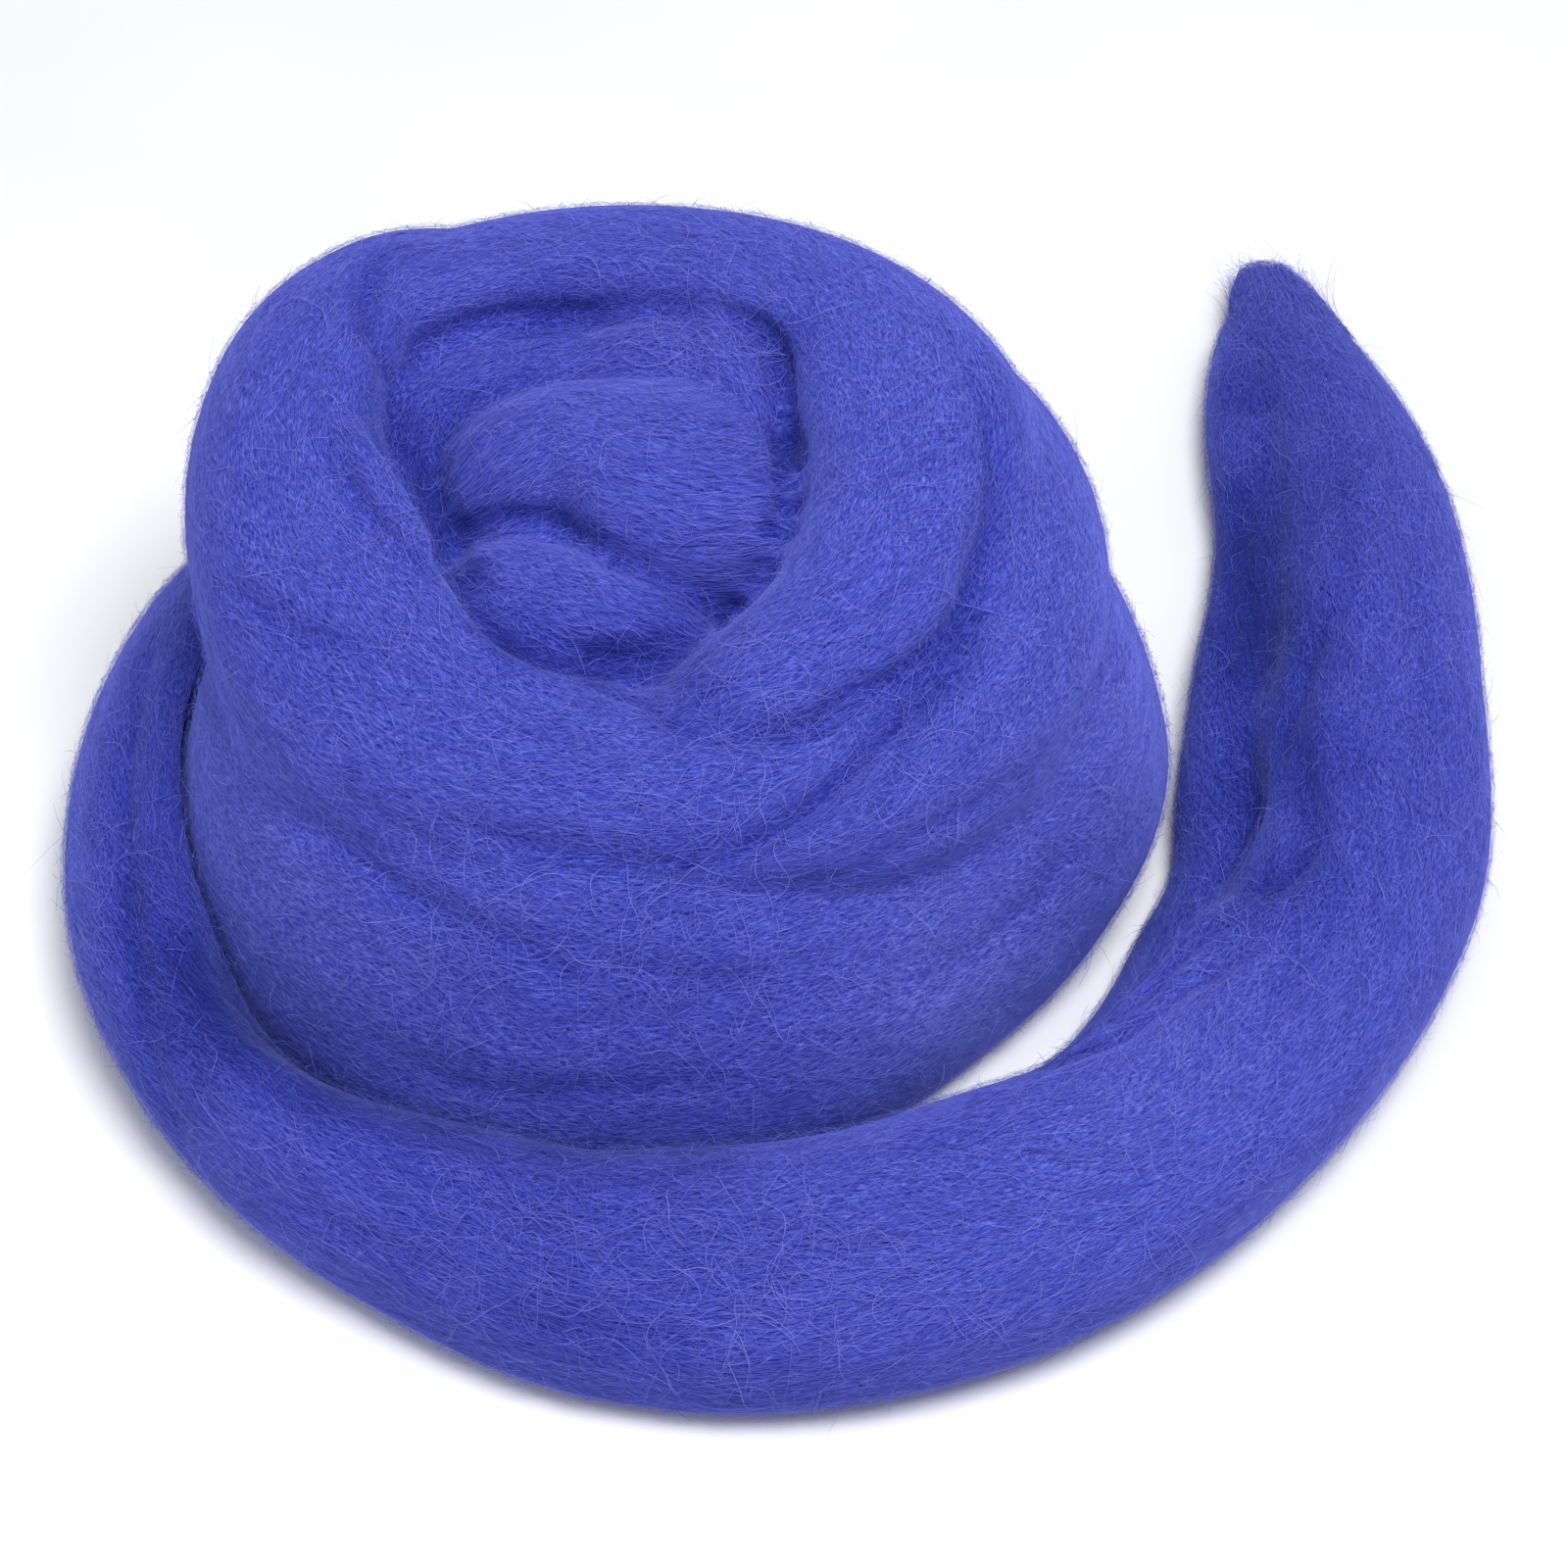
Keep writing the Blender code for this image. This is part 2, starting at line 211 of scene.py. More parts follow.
# Creases pressed into each skin, from the solids' own to the fine ones that only show from near by. The
# columns: depth, half width, and the points that the crease passes near.
BALL_CREASES = [
    # The outer edge of the top turn, from the right down under the second turn's front.
    (3.6, 9.5, [(64, 50, 109), (70, 34, 107), (73, 8, 102), (70, -14, 94), (64, -30, 89)]),
    (5.0, 7.0, [(72, -6, 97), (64, -30, 89), (52, -50, 85), (34, -70, 79), (15, -79, 72), (-9, -79, 69)]),
    (2.6, 6.5, [(2, -81, 69), (-14, -78, 70), (-28, -76, 71), (-46, -69, 72)]),
    # Where the top turn's end is tucked in beside the second turn.
    (3.6, 6.0, [(66, -27, 89), (54, -41, 88), (41, -48, 87), (33, -55, 85), (20, -57, 86), (8, -48, 86)]),
    (2.6, 6.0, [(-18, -44, 88), (-4, -46, 84), (7, -56, 86), (15, -58, 85)]),
    # The fan of folds in the outer half of the second turn, and its lower edge.
    (2.2, 5.0, [(66, -32, 88), (55, -52, 85), (51, -65, 80), (46, -74, 74)]),
    (1.5, 4.5, [(68, -30, 88), (63, -46, 85), (57, -59, 81)]),
    (2.4, 7.0, [(99, 6, 59), (94, -18, 63), (87, -37, 64), (80, -47, 65)]),
    (1.8, 6.0, [(84, -42, 65), (66, -63, 69), (53, -73, 68), (41, -79, 65), (27, -83, 65), (1, -81, 68)]),
    # Soft creases low on the right, the left and the front.
    (1.6, 9.5, [(93, -42, 49), (89, -53, 42), (79, -68, 38), (66, -80, 38), (53, -88, 39)]),
    (2.8, 8.0, [(-80, -52, 59), (-66, -65, 60), (-53, -76, 58),
                (-39, -85, 57), (-25, -92, 55), (-11, -98, 50)]),
    (1.5, 7.0, [(-69, -57, 70), (-54, -67, 68), (-39, -76, 66), (-25, -82, 65)]),
    (1.4, 6.0, [(-21, -90, 59), (-5, -95, 55), (11, -97, 52), (27, -95, 49)]),
    (1.2, 6.5, [(-51, -98, 27), (-30, -106, 27), (-5, -108, 31), (19, -106, 31)]),
    # The shoulder, the notch behind it and the loose bundle at the edge of the opening.
    (2.2, 5.0, [(-97, -12, 86), (-91, -17, 89), (-78, -27, 89), (-66, -36, 91), (-54, -40, 92)]),
    (4.0, 6.5, [(-62, 76, 114), (-64, 64, 115), (-65, 56, 114),
                (-65, 47, 111), (-63, 41, 108), (-61, 36, 103)]),
    (2.0, 4.0, [(-60, 12, 95), (-56, 6, 91), (-52, -6, 92), (-45, -23, 96)]),
    (1.6, 4.5, [(-74, 18, 107), (-63, 3, 99), (-54, -13, 97), (-47, -28, 96)]),
    # Inside the opening, under the top turn's inner edge and down to the folds in the middle.
    (2.7, 5.0, [(-61, 36, 102), (-55, 49, 103), (-48, 56, 104),
                (-37, 61, 104), (-24, 64, 102), (-11, 65, 101)]),
    (2.5, 5.0, [(-24, 64, 102), (-11, 65, 101), (3, 63, 104), (10, 61, 107)]),
    (3.6, 5.5, [(8, 60, 106), (16, 57, 107), (24, 50, 107), (26, 41, 104), (27, 32, 99), (27, 24, 95)]),
    (4.4, 7.0, [(27, 34, 100), (27, 24, 95), (27, 16, 90), (25, 9, 83), (21, 3, 78), (16, -4, 76)]),
    (3.0, 6.5, [(-61, 35, 102), (-60, 30, 95), (-56, 23, 90), (-51, 13, 87), (-46, 5, 82)]),
    (5.6, 7.5, [(-47, 4, 84), (-43, -14, 90), (-36, -29, 92), (-28, -36, 91),
                (-18, -38, 88), (-8, -34, 85), (1, -29, 82), (6, -25, 81)]),
    # Round the middle folds.
    (3.4, 4.8, [(-47, 5, 83), (-40, 10, 84), (-33, 8, 89), (-24, 4, 91),
                (-15, -1, 90), (-7, -7, 87), (2, -11, 84), (7, -13, 81)]),
    (1.8, 5.0, [(-46, 20, 86), (-44, 32, 90), (-38, 42, 94), (-28, 46, 99), (-16, 46, 102), (-5, 45, 103)]),
    (1.6, 4.5, [(-1, 62, 97), (5, 60, 97), (8, 45, 101), (7, 34, 103)]),
]
END_CREASES = [
    # The soft hollows of the right side, either side of a slanting ridge.
    (6.0, 16.0, [(143, 114, 16), (140, 87, 16), (140, 66, 14), (141, 49, 14), (138, 35, 14), (133, 24, 13)]),
    (3.5, 10.0, [(157, 54, 26), (149, 29, 24), (144, 15, 24), (140, 0, 24)]),
    (4.5, 8.0, [(133, 24, 13), (135, 6, 14), (134, -10, 17), (131, -22, 16), (124, -33, 15)]),
    (4.5, 8.0, [(145, 8, 25), (145, -16, 26), (144, -30, 27), (138, -41, 29), (130, -47, 27)]),
    (1.6, 8.5, [(139, 148, 15), (147, 142, 16), (156, 142, 19)]),
    (1.4, 6.0, [(144, 108, 16), (149, 122, 15), (152, 133, 17), (151, 141, 17)]),
    (1.3, 7.0, [(164, 141, 23), (165, 110, 25), (164, 80, 27), (160, 40, 27)]),
    (1.3, 7.0, [(179, 83, 27), (178, 37, 27), (172, 2, 27), (164, -29, 29)]),
    (1.1, 8.5, [(154, -19, 28), (149, -45, 30), (138, -69, 30), (123, -92, 30)]),
    # The folds under the roll at the bend.
    (3.4, 5.0, [(123, -54, 27), (112, -63, 26), (106, -71, 26), (100, -77, 26), (88, -84, 22)]),
    (2.6, 6.0, [(130, -55, 29), (121, -69, 28), (110, -76, 27), (99, -88, 27), (88, -93, 25), (72, -99, 25)]),
    # The left side and the front.
    (3.5, 13.0, [(-114, 36, 38), (-120, -16, 36), (-112, -64, 32), (-93, -108, 30)]),
    (2.4, 6.0, [(-117, -40, 31), (-113, -62, 28), (-108, -82, 25), (-101, -98, 21), (-91, -113, 13)]),
    (1.8, 6.0, [(-112, -36, 36), (-105, -61, 34), (-96, -82, 32), (-85, -100, 31), (-71, -111, 30)]),
    (2.0, 5.5, [(-58, -123, 30), (-44, -129, 30), (-31, -136, 30), (-18, -140, 30)]),
    (1.8, 8.0, [(-75, -128, 22), (-62, -138, 23), (-47, -145, 25), (-33, -151, 25)]),
    (1.6, 9.5, [(-35, -156, 21), (-19, -161, 21), (-2, -164, 22), (14, -165, 22)]),
    (1.5, 6.0, [(-67, -121, 29), (-52, -135, 28), (-35, -144, 28), (-19, -151, 27)]),
]
CREASE_FADE = 0.6
CREASE_SHOULDER = 1.8
CREASE_STEP = 0.8

# How the loose end's edge slopes down beside the ball, with a deeper pocket at the front left: how far out
# the slope starts, how deep it gets, how far back it begins and over what length it grows, and the pocket's
# x, y, reach and added depth.
EDGE_REACH = 26.0
EDGE_DEPTH = 9.0
EDGE_BACK = 10.0
EDGE_FADE = 50.0
EDGE_POCKET = (-84, -88, 40, 20.0)
# The gap kept between the two skins, and how deep inside the ball a point is still brought out to it.
SKIN_GAP = 0.5
TUCKED_DEPTH = 60

# ---------------------------------------------------------------- how the wool is drawn

SEED = 7
NOISE_ROWS = 512

# The skins: how finely they are fused, how many times each is smoothed, how far they lie under the fibres, and
# the least height above the table.
SKIN_VOXEL = 1.9
BALL_SOFTENING = 4
END_SOFTENING = 12
SKIN_INSET = 0.6
TABLE_GAP = 0.25

# Lengthwise folds of the combed wool, in two sizes: how wide, how long and how deep. They are shallower in a
# strand thinner than the full thickness, but never shallower than the least share.
FOLD_SIZES = [(17.0, 110.0, 1.6), (6.0, 50.0, 0.55)]
FULL_THICKNESS = 30
LEAST_FOLD = 0.15
# The locks of fibres that share one heading: how wide, how long and how far apart their headings are.
LOCK_WIDTH = 14
LOCK_LENGTH = 30
LOCK_DRIFT = 0.3
# The lay of the skin's streaks is measured in this many mm, with the strands this far apart in it.
LAY_UNIT = 100
LAY_APART = 700

# How much of each kind of fibre a skin wears, how long its combed fibres are on average and how far they
# stray from the strand's own direction, in degrees.
BALL_WOOL = {"combed": 30000, "length": 7.5, "straying": 19, "curls": 7000, "loose": 900, "wisps": 13000}
END_WOOL = {"combed": 28000, "length": 10.0, "straying": 13, "curls": 2200, "loose": 600, "wisps": 14000}
FIBRES_PER_PIECE = 20000
# No fibre starts where the surface faces down more steeply than this.
UNDERSIDE = -0.55

# The combed fibres: points in each, the shortest and the longest (as a multiple of the average), how much
# the length varies, and their two curls, each with its shortest and longest wave and its size.
LAY_POINTS = 5
SHORTEST_FIBRE = 2.0
LONGEST_FIBRE = 2.2
LENGTH_SHAPE = 4
FIBRE_CURLS = [(4, 8, 0.2), (9, 18, 0.5)]
# A fibre stops where its path leaves the skin by this much, and where two points on the skin are further
# apart than their path allows: the stretch and the slack. One left with fewer steps than this isn't drawn.
OFF_SKIN = 2.0
LEAP_STRETCH = 1.4
LEAP_SLACK = 0.2
FEWEST_STEPS = 2
# How high the middle of a combed fibre rises, how deep its ends and a wisp's root are sunk, and how thick
# it is.
FIBRE_RISE = (0.05, 0.85)
ENDS_SUNK = 0.1
ROOT_SUNK = 0.2
FIBRE_WIDTH = (0.06, 0.16)

# The fibres that wander over the surface. At each point they keep this share of their bend and get so much
# of a new one. They lift off the surface so many times, to a share of the rise, and never lie lower.
SHORT_CURLS = {"points": 6, "step": 1.1, "turning": 0.2, "rise": 0.8, "width": 0.1}
LOOSE_FIBRES = {"points": 14, "step": 1.4, "turning": 0.11, "rise": 1.0, "width": 0.11}
BEND_KEPT = 0.82
BEND_NEW = 0.7
LIFTS = (1, 3)
LIFT_HEIGHT = (0.3, 1.0)
LEAST_LIFT = 0.15

# The fibres that stand off the surface, with how steeply they climb and how far they bend over.
SURFACE_WISPS = {"points": 3, "length": 2.6, "width": 0.1}
WISP_CLIMB = (0.12, 0.8)
WISP_BEND = 0.35

# The fibres of the tip. They come out of the last stretch of the strand, of this length, run towards its end,
# spread by this much across, along and up, and go at most so far past it. The strand's heading there is taken
# over this many rows, and no fibre lies lower than the last number.
TIP_FIBRES = {"count": 2200, "points": 6}
TIP_LENGTH = 50
TIP_SPREAD = (5.5, 2.5, 1.2)
PAST_TIP = 4
TIP_ROWS = 12
LOWEST_FIBRE = 0.5

# Loose fibres gathered in tufts and swirls. The columns: x, y, height, reach and how many.
BALL_TUFTS = [
    (2, 56, 103, 16, 60),
    (16, 45, 105, 12, 40),
    (-58, -4, 96, 12, 45),
    (20, -48, 88, 16, 60),
    (58, -58, 80, 16, 50),
    (-40, -88, 55, 24, 60),
    (5, -92, 52, 30, 90),
]
END_TUFTS = [
    (24, -146, 30, 30, 150),
    (-30, -142, 28, 24, 70),
    (122, -62, 28, 20, 80),
    (154, 150, 18, 40, 60),
]

# Painted shade and light. How much darker the colour is painted for each mm that a point is creased, and
# patches where it is painted darker for shade or paler for light. The columns: x, y, height, reach and how
# much darker.
CREASE_PAINTED_SHADE = 0.075
BALL_PAINTED_LIGHT_AND_SHADE = [
    (-25, 64, 102, 12, 0.2),
    (27, 46, 106, 11, 0.25),
    (-54, 30, 92, 22, 0.3),
    (-49, 10, 84, 12, 0.35),
    (-43, -12, 87, 10, 0.25),
    (-28, -34, 88, 13, 0.3),
    (-12, -36, 85, 12, 0.25),
    (2, -30, 81, 14, 0.35),
    (12, -12, 76, 13, 0.4),
    (8, -44, 85, 9, 0.25),
    (27, 24, 95, 8, 0.35),
    (25, 8, 84, 9, 0.4),
    (0, -85, 42, 40, 0.1),
    (96, 0, 50, 50, -0.2),
    (72, 45, 100, 40, -0.1),
    (70, -80, 28, 45, -0.3),
    (-85, -55, 38, 40, -0.12),
]
END_PAINTED_LIGHT_AND_SHADE = [
    (148, 190, 12, 30, 0.25),
    (150, 150, 14, 28, 0.25),
    (142, 95, 14, 40, 0.35),
    (138, 50, 14, 34, 0.35),
    (140, 0, 20, 34, 0.3),
    (185, 60, 14, 30, -0.1),
    (-104, 42, 34, 30, -0.25),
    (-95, -68, 26, 14, 0.35),
    (-84, -82, 20, 24, 0.8),
    (-64, -102, 29, 20, 0.5),
    (-42, -110, 29, 18, 0.4),
    (-15, -114, 28, 18, 0.35),
    (10, -114, 28, 16, 0.25),
    (133, -44, 24, 20, 0.35),
    (80, -90, 20, 18, 0.35),
    (160, 222, 6, 12, -0.4),
    (139, 168, 6, 14, -0.3),
    (-10, -150, 24, 45, 0.12),
    (95, -100, 28, 45, -0.12),
]


def soft_noise(across, along, cells, seed):
    """Smooth random values from -1 to 1, which repeat after this many cells across."""
    lattice = np.random.default_rng(seed).uniform(-1, 1, (cells, NOISE_ROWS))
    column, row = np.floor(across).astype(int), np.floor(along).astype(int)
    s, t = across - column, along - row
    s, t = s * s * (3 - 2 * s), t * t * (3 - 2 * t)
    left, right = column % cells, (column + 1) % cells
    row, following = row % NOISE_ROWS, (row + 1) % NOISE_ROWS
    near = lattice[left, row] * (1 - s) + lattice[right, row] * s
    far = lattice[left, following] * (1 - s) + lattice[right, following] * s
    return near * (1 - t) + far * t


def fading(away):
    """A share that falls softly from 1 at the middle of a patch to little at its edge, where away is 1."""
    return np.exp(-2 * away**2)


def in_patch(points, x, y, height, reach):
    """How much each point belongs to a round patch, from 1 at its middle."""
    return fading(np.linalg.norm(points - (x, y, height), axis=1) / reach)


def tree_of(points, stride=1):
    """A tree that finds the nearest of every so many of the points, under their own numbers."""
    tree = KDTree(len(points[::stride]))
    for index in range(0, len(points), stride):
        tree.insert(points[index], index)
    tree.balance()
    return tree


def vectors_of(mesh, name):
    values = np.empty(len(mesh.vertices) * 3)
    mesh.vertices.foreach_get(name, values)
    return values.reshape(-1, 3)


def add_object(name, data):
    thing = bpy.data.objects.new(name, data)
    bpy.context.scene.collection.objects.link(thing)
    return thing


def arch(part, power):
    """A share that is 0 at both ends of a fibre and 1 in its middle."""
    return np.sin(np.pi * part) ** power


def unit(vectors):
    return vectors / np.maximum(np.linalg.norm(vectors, axis=-1, keepdims=True), 1e-9)


def smooth_rows(rows, steps=STEPS_PER_ROW):
    """The rows of a table with more between them, on a curve that passes through each."""
    points = np.array(rows, float)
    before = np.vstack([2 * points[0] - points[1], points[:-1]])
    after = np.vstack([points[1:], 2 * points[-1] - points[-2]])
    slopes = (after - before) / 2
    t = (np.arange(steps) / steps)[None, :, None]
    filled = (
        (2 * t**3 - 3 * t**2 + 1) * points[:-1, None]
        + (t**3 - 2 * t**2 + t) * slopes[:-1, None]
        + (3 * t**2 - 2 * t**3) * points[1:, None]
        + (t**3 - t**2) * slopes[1:, None]
    )
    return np.vstack([filled.reshape(-1, points.shape[1]), points[-1:]])


def wound_rows(rows):
    """The rows of a wound strand, with x and y in place of angle and radius."""
    angle, radius = np.radians(rows[:, 0]), rows[:, 1]
    return np.column_stack([radius * np.cos(angle), -radius * np.sin(angle), rows[:, 2:]])


def even_rows(rows, step=RUN_STEP):
    """The rows moved to even distances along the strand."""
    steps = np.linalg.norm(np.diff(rows[:, :3], axis=0), axis=1)
    run = np.concatenate([[0], np.cumsum(steps)])
    even = np.linspace(0, run[-1], int(run[-1] / step) + 1)
    return np.column_stack([np.interp(even, run, column) for column in rows.T])


class Strand:
    """A strand of wool as a grid of points: one outline for each row, from its start to its end."""

    def __init__(self, table, wound=False, twist=0.0, seed=0):
        rows = smooth_rows(table)
        self.rows = even_rows(wound_rows(rows) if wound else rows)
        self.twist = twist
        self.seed = seed
        self.rings = self.outlines()
        edges = np.linalg.norm(self.rings - np.roll(self.rings, 1, axis=1), axis=2)
        self.girth = edges.sum(axis=1).mean()
        self.along = np.gradient(self.rings, axis=0)
        self.round_ = (np.roll(self.rings, -1, axis=1) - np.roll(self.rings, 1, axis=1)) / 2

    def outlines(self):
        centre = self.rows[:, :3]
        width, thickness, lean = self.rows[:, 3:].T[:, :, None]
        lean = np.radians(lean)
        along = unit(np.gradient(centre, axis=0))
        outward = unit(np.cross([0.0, 0.0, 1.0], along))
        upward = np.cross(along, outward)
        across = np.cos(lean) * upward - np.sin(lean) * outward
        face = np.cos(lean) * outward + np.sin(lean) * upward
        # The outlines start at the back of the strand, where it is hidden.
        turn = np.linspace(0, 2 * np.pi, POINTS_ROUND, endpoint=False) - np.pi / 2
        power = 2 / SECTION_FULLNESS
        wide = np.sign(np.cos(turn)) * np.abs(np.cos(turn)) ** power * width / 2
        deep = np.sign(np.sin(turn)) * np.abs(np.sin(turn)) ** power * thickness / 2
        offset = wide[:, :, None] * across[:, None] + deep[:, :, None] * face[:, None]
        run = np.arange(len(centre))[:, None] * RUN_STEP
        part = np.arange(POINTS_ROUND)[None, :] / POINTS_ROUND
        girth = GIRTH_SHARE * (width.mean() + thickness.mean())
        slim = np.clip(thickness / FULL_THICKNESS, LEAST_FOLD, 1)
        for size, (fold_width, fold_length, depth) in enumerate(FOLD_SIZES):
            cells = max(4, int(girth / fold_width))
            folds = soft_noise(part * cells, run / fold_length, cells, 10 * self.seed + size)
            offset += unit(offset) * (folds * depth * slim)[:, :, None]
        return centre[:, None] + offset

    def place_of(self, points, samples):
        """How far along and round the strand points lie, in mm, from the outline point nearest to each."""
        row, column = np.divmod(samples, POINTS_ROUND)
        offset = points - self.rings[row, column]
        found = []
        for index, steps, size in (
            (row, self.along[row, column], RUN_STEP),
            (column, self.round_[row, column], self.girth / POINTS_ROUND),
        ):
            shift = (offset * steps).sum(axis=1) / np.maximum((steps**2).sum(axis=1), 1e-6)
            found.append((index + shift.clip(-2, 2)) * size)
        return np.column_stack(found)

    def drift(self, run, round_):
        """How the fibres' heading wanders from lock to lock."""
        cells = max(4, int(self.girth / LOCK_WIDTH))
        wander = soft_noise(round_ / self.girth * cells, run / LOCK_LENGTH, cells, 10 * self.seed + 5)
        return LOCK_DRIFT * wander

    def at(self, run, round_):
        """Points on the strand at these distances along it and round it, in mm."""
        row = np.clip(run / RUN_STEP, 0, len(self.rings) - 1.001)
        column = round_ / self.girth * POINTS_ROUND
        i, j = np.floor(row).astype(int), np.floor(column).astype(int)
        s, t = (row - i)[..., None], (column - j)[..., None]
        j, following = j % POINTS_ROUND, (j + 1) % POINTS_ROUND
        near = self.rings[i, j] * (1 - t) + self.rings[i, following] * t
        far = self.rings[i + 1, j] * (1 - t) + self.rings[i + 1, following] * t
        return near * (1 - s) + far * s


def add_loft(mesh, rings):
    made = [[mesh.verts.new(point) for point in ring] for ring in rings]
    for first, second in zip(made, made[1:]):
        for index in range(len(first)):
            following = (index + 1) % len(first)
            mesh.faces.new((first[index], first[following], second[following], second[index]))
    mesh.faces.new(list(reversed(made[0])))
    mesh.faces.new(made[-1])


def add_lobe(mesh, x, y, height, half_x, half_y, half_z):
    across, up = LOBE_SEGMENTS
    made = bmesh.ops.create_uvsphere(mesh, u_segments=across, v_segments=up, radius=1)["verts"]
    bmesh.ops.scale(mesh, vec=(half_x, half_y, half_z), verts=made)
    bmesh.ops.translate(mesh, vec=(x, y, height), verts=made)


def keep_largest_body(mesh):
    left, bodies = set(mesh.verts), []
    while left:
        body, reached = set(), [left.pop()]
        while reached:
            vert = reached.pop()
            body.add(vert)
            for edge in vert.link_edges:
                other = edge.other_vert(vert)
                if other in left:
                    left.remove(other)
                    reached.append(other)
        bodies.append(body)
    for body in sorted(bodies, key=len)[:-1]:
        bmesh.ops.delete(mesh, geom=list(body), context="VERTS")


def press_crease(mesh, hollow, depth, half_width, points):
    """Presses a groove between soft shoulders along a line on the surface, fading out at both ends."""
    surface = BVHTree.FromBMesh(mesh)
    line = even_rows(smooth_rows(points), CREASE_STEP)
    tree = tree_of([surface.find_nearest(Vector(point))[0] for point in line])
    mesh.normal_update()
    for vert in mesh.verts:
        _, index, distance = tree.find(vert.co)
        near = distance / half_width
        if near < 1:
            fade = np.sin(np.pi * (index + 0.5) / len(line)) ** CREASE_FADE
            groove = depth * fade * (1 - near) ** CREASE_SHOULDER
            vert.co -= vert.normal * groove
            hollow[vert.index] += groove


def evaluated_mesh(thing):
    graph = bpy.context.evaluated_depsgraph_get()
    return bpy.data.meshes.new_from_object(thing.evaluated_get(graph))


def fused_skin(name, strands, lobes, softening, creases):
    """One soft skin over all the strands, in mm from the ball's axis, and how deep each point is creased."""
    mesh = bmesh.new()
    for strand in strands:
        add_loft(mesh, strand.rings)
    for lobe in lobes:
        add_lobe(mesh, *lobe)
    data = bpy.data.meshes.new(name)
    mesh.to_mesh(data)
    mesh.free()
    thing = add_object(name, data)
    fuse = thing.modifiers.new("fuse", "REMESH")
    fuse.mode = "VOXEL"
    fuse.voxel_size = SKIN_VOXEL
    soften = thing.modifiers.new("soften", "SMOOTH")
    soften.factor = 0.5
    soften.iterations = softening
    data = evaluated_mesh(thing)
    thing.modifiers.clear()
    mesh = bmesh.new()
    mesh.from_mesh(data)
    keep_largest_body(mesh)
    mesh.verts.index_update()
    hollow = np.zeros(len(mesh.verts))
    for crease in creases:
        press_crease(mesh, hollow, *crease)
    for vert in mesh.verts:
        vert.co.z = max(vert.co.z, TABLE_GAP)
    mesh.normal_update()
    mesh.to_mesh(thing.data)
    mesh.free()
    return thing, hollow


def lay_beside(thing, other, hollow):
    """Slopes one skin down beside another, and moves its points that lie in the other out to its surface."""
    surface = BVHTree.FromObject(other, bpy.context.evaluated_depsgraph_get())
    x, y, reach, added = EDGE_POCKET
    for vert in thing.data.vertices:
        place, normal, _, distance = surface.find_nearest(vert.co)
        outside = (vert.co - place).dot(normal)
        if outside < EDGE_REACH and distance < EDGE_REACH:
            away = np.hypot(vert.co.x - x, vert.co.y - y) / reach
            part = 1 - max(outside, 0) / EDGE_REACH
            front = np.clip((EDGE_BACK - vert.co.y) / EDGE_FADE, 0, 1)
            drop = (EDGE_DEPTH * front + added * fading(away)) * part**CREASE_SHOULDER
            vert.co.z = max(vert.co.z - drop, TABLE_GAP)
            # Half the drop is added as painted shade, darker where the skin slopes down beside the other.
            hollow[vert.index] += drop / 2
    for _ in range(2):
        for vert in thing.data.vertices:
            place, normal, _, distance = surface.find_nearest(vert.co)
            if (vert.co - place).dot(normal) < SKIN_GAP and distance < TUCKED_DEPTH:
                vert.co = place + normal * SKIN_GAP


class Surface:
    """A skin with the strand that each part of it belongs to and the painted shade on each part of it."""

    def __init__(self, thing, hollow, strands, painted_patches):
        self.thing = thing
        self.strands = strands
        self.points = vectors_of(thing.data, "co")
        self.polygons = [tuple(face.vertices) for face in thing.data.polygons]
        # The depth is painted shade: darker in the creases and hollows, with patches painted darker for shade
        # or paler for light.
        self.depth = CREASE_PAINTED_SHADE * hollow
        for *patch, painted_shading in painted_patches:
            self.depth += painted_shading * in_patch(self.points, *patch)
        self.tree = BVHTree.FromPolygons(self.points.tolist(), self.polygons)
        self.centres = np.array([face.center[:] for face in thing.data.polygons])
        self.normals = np.array([face.normal[:] for face in thing.data.polygons])
        self.areas = np.array([face.area for face in thing.data.polygons])
        # Every second outline point is near enough to find a place by.
        self.lookup = [tree_of(strand.rings.reshape(-1, 3).tolist(), 2) for strand in strands]

    def painted_shade_at(self, faces):
        """How much painted shade there is at some of the faces."""
        return self.depth[[self.polygons[face][0] for face in faces]]

    def nearest(self, points):
        """For each point the nearest place on the skin, the outward direction there and the distance."""
        found = [self.tree.find_nearest(point) for point in points.reshape(-1, 3).tolist()]
        place = np.array([hit[0][:] for hit in found]).reshape(points.shape)
        outward = np.array([hit[1][:] for hit in found]).reshape(points.shape)
        gap = np.array([hit[3] for hit in found]).reshape(points.shape[:-1])
        return place, outward, gap

    def strand_of(self, points):
        """For each point the strand that lies nearest, and the place along and round it."""
        best = np.full(len(points), np.inf)
        which = np.zeros(len(points), int)
        place = np.zeros((len(points), 2))
        for number, strand in enumerate(self.strands):
            samples, distance = self.look_up(number, points)
            nearer = distance < best
            best[nearer] = distance[nearer]
            which[nearer] = number
            place[nearer] = strand.place_of(points[nearer], samples[nearer])
        return which, place

    def look_up(self, number, points):
        """The outline points of one strand that lie nearest to these points, and how far they are."""
        found = [self.lookup[number].find(point) for point in points.tolist()]
        return np.array([hit[1] for hit in found], int), np.array([hit[2] for hit in found])


def scatter(surface, count, rng, tufts=()):
    """Random places on the skin, off its underside, and then those of its tufts."""
    weight = surface.areas * (surface.normals[:, 2] > UNDERSIDE)
    faces = [rng.choice(len(weight), count, p=weight / weight.sum())]
    for *patch, size in tufts:
        near = weight * in_patch(surface.centres, *patch)
        faces.append(rng.choice(len(near), size, p=near / near.sum()))
    return np.concatenate(faces)


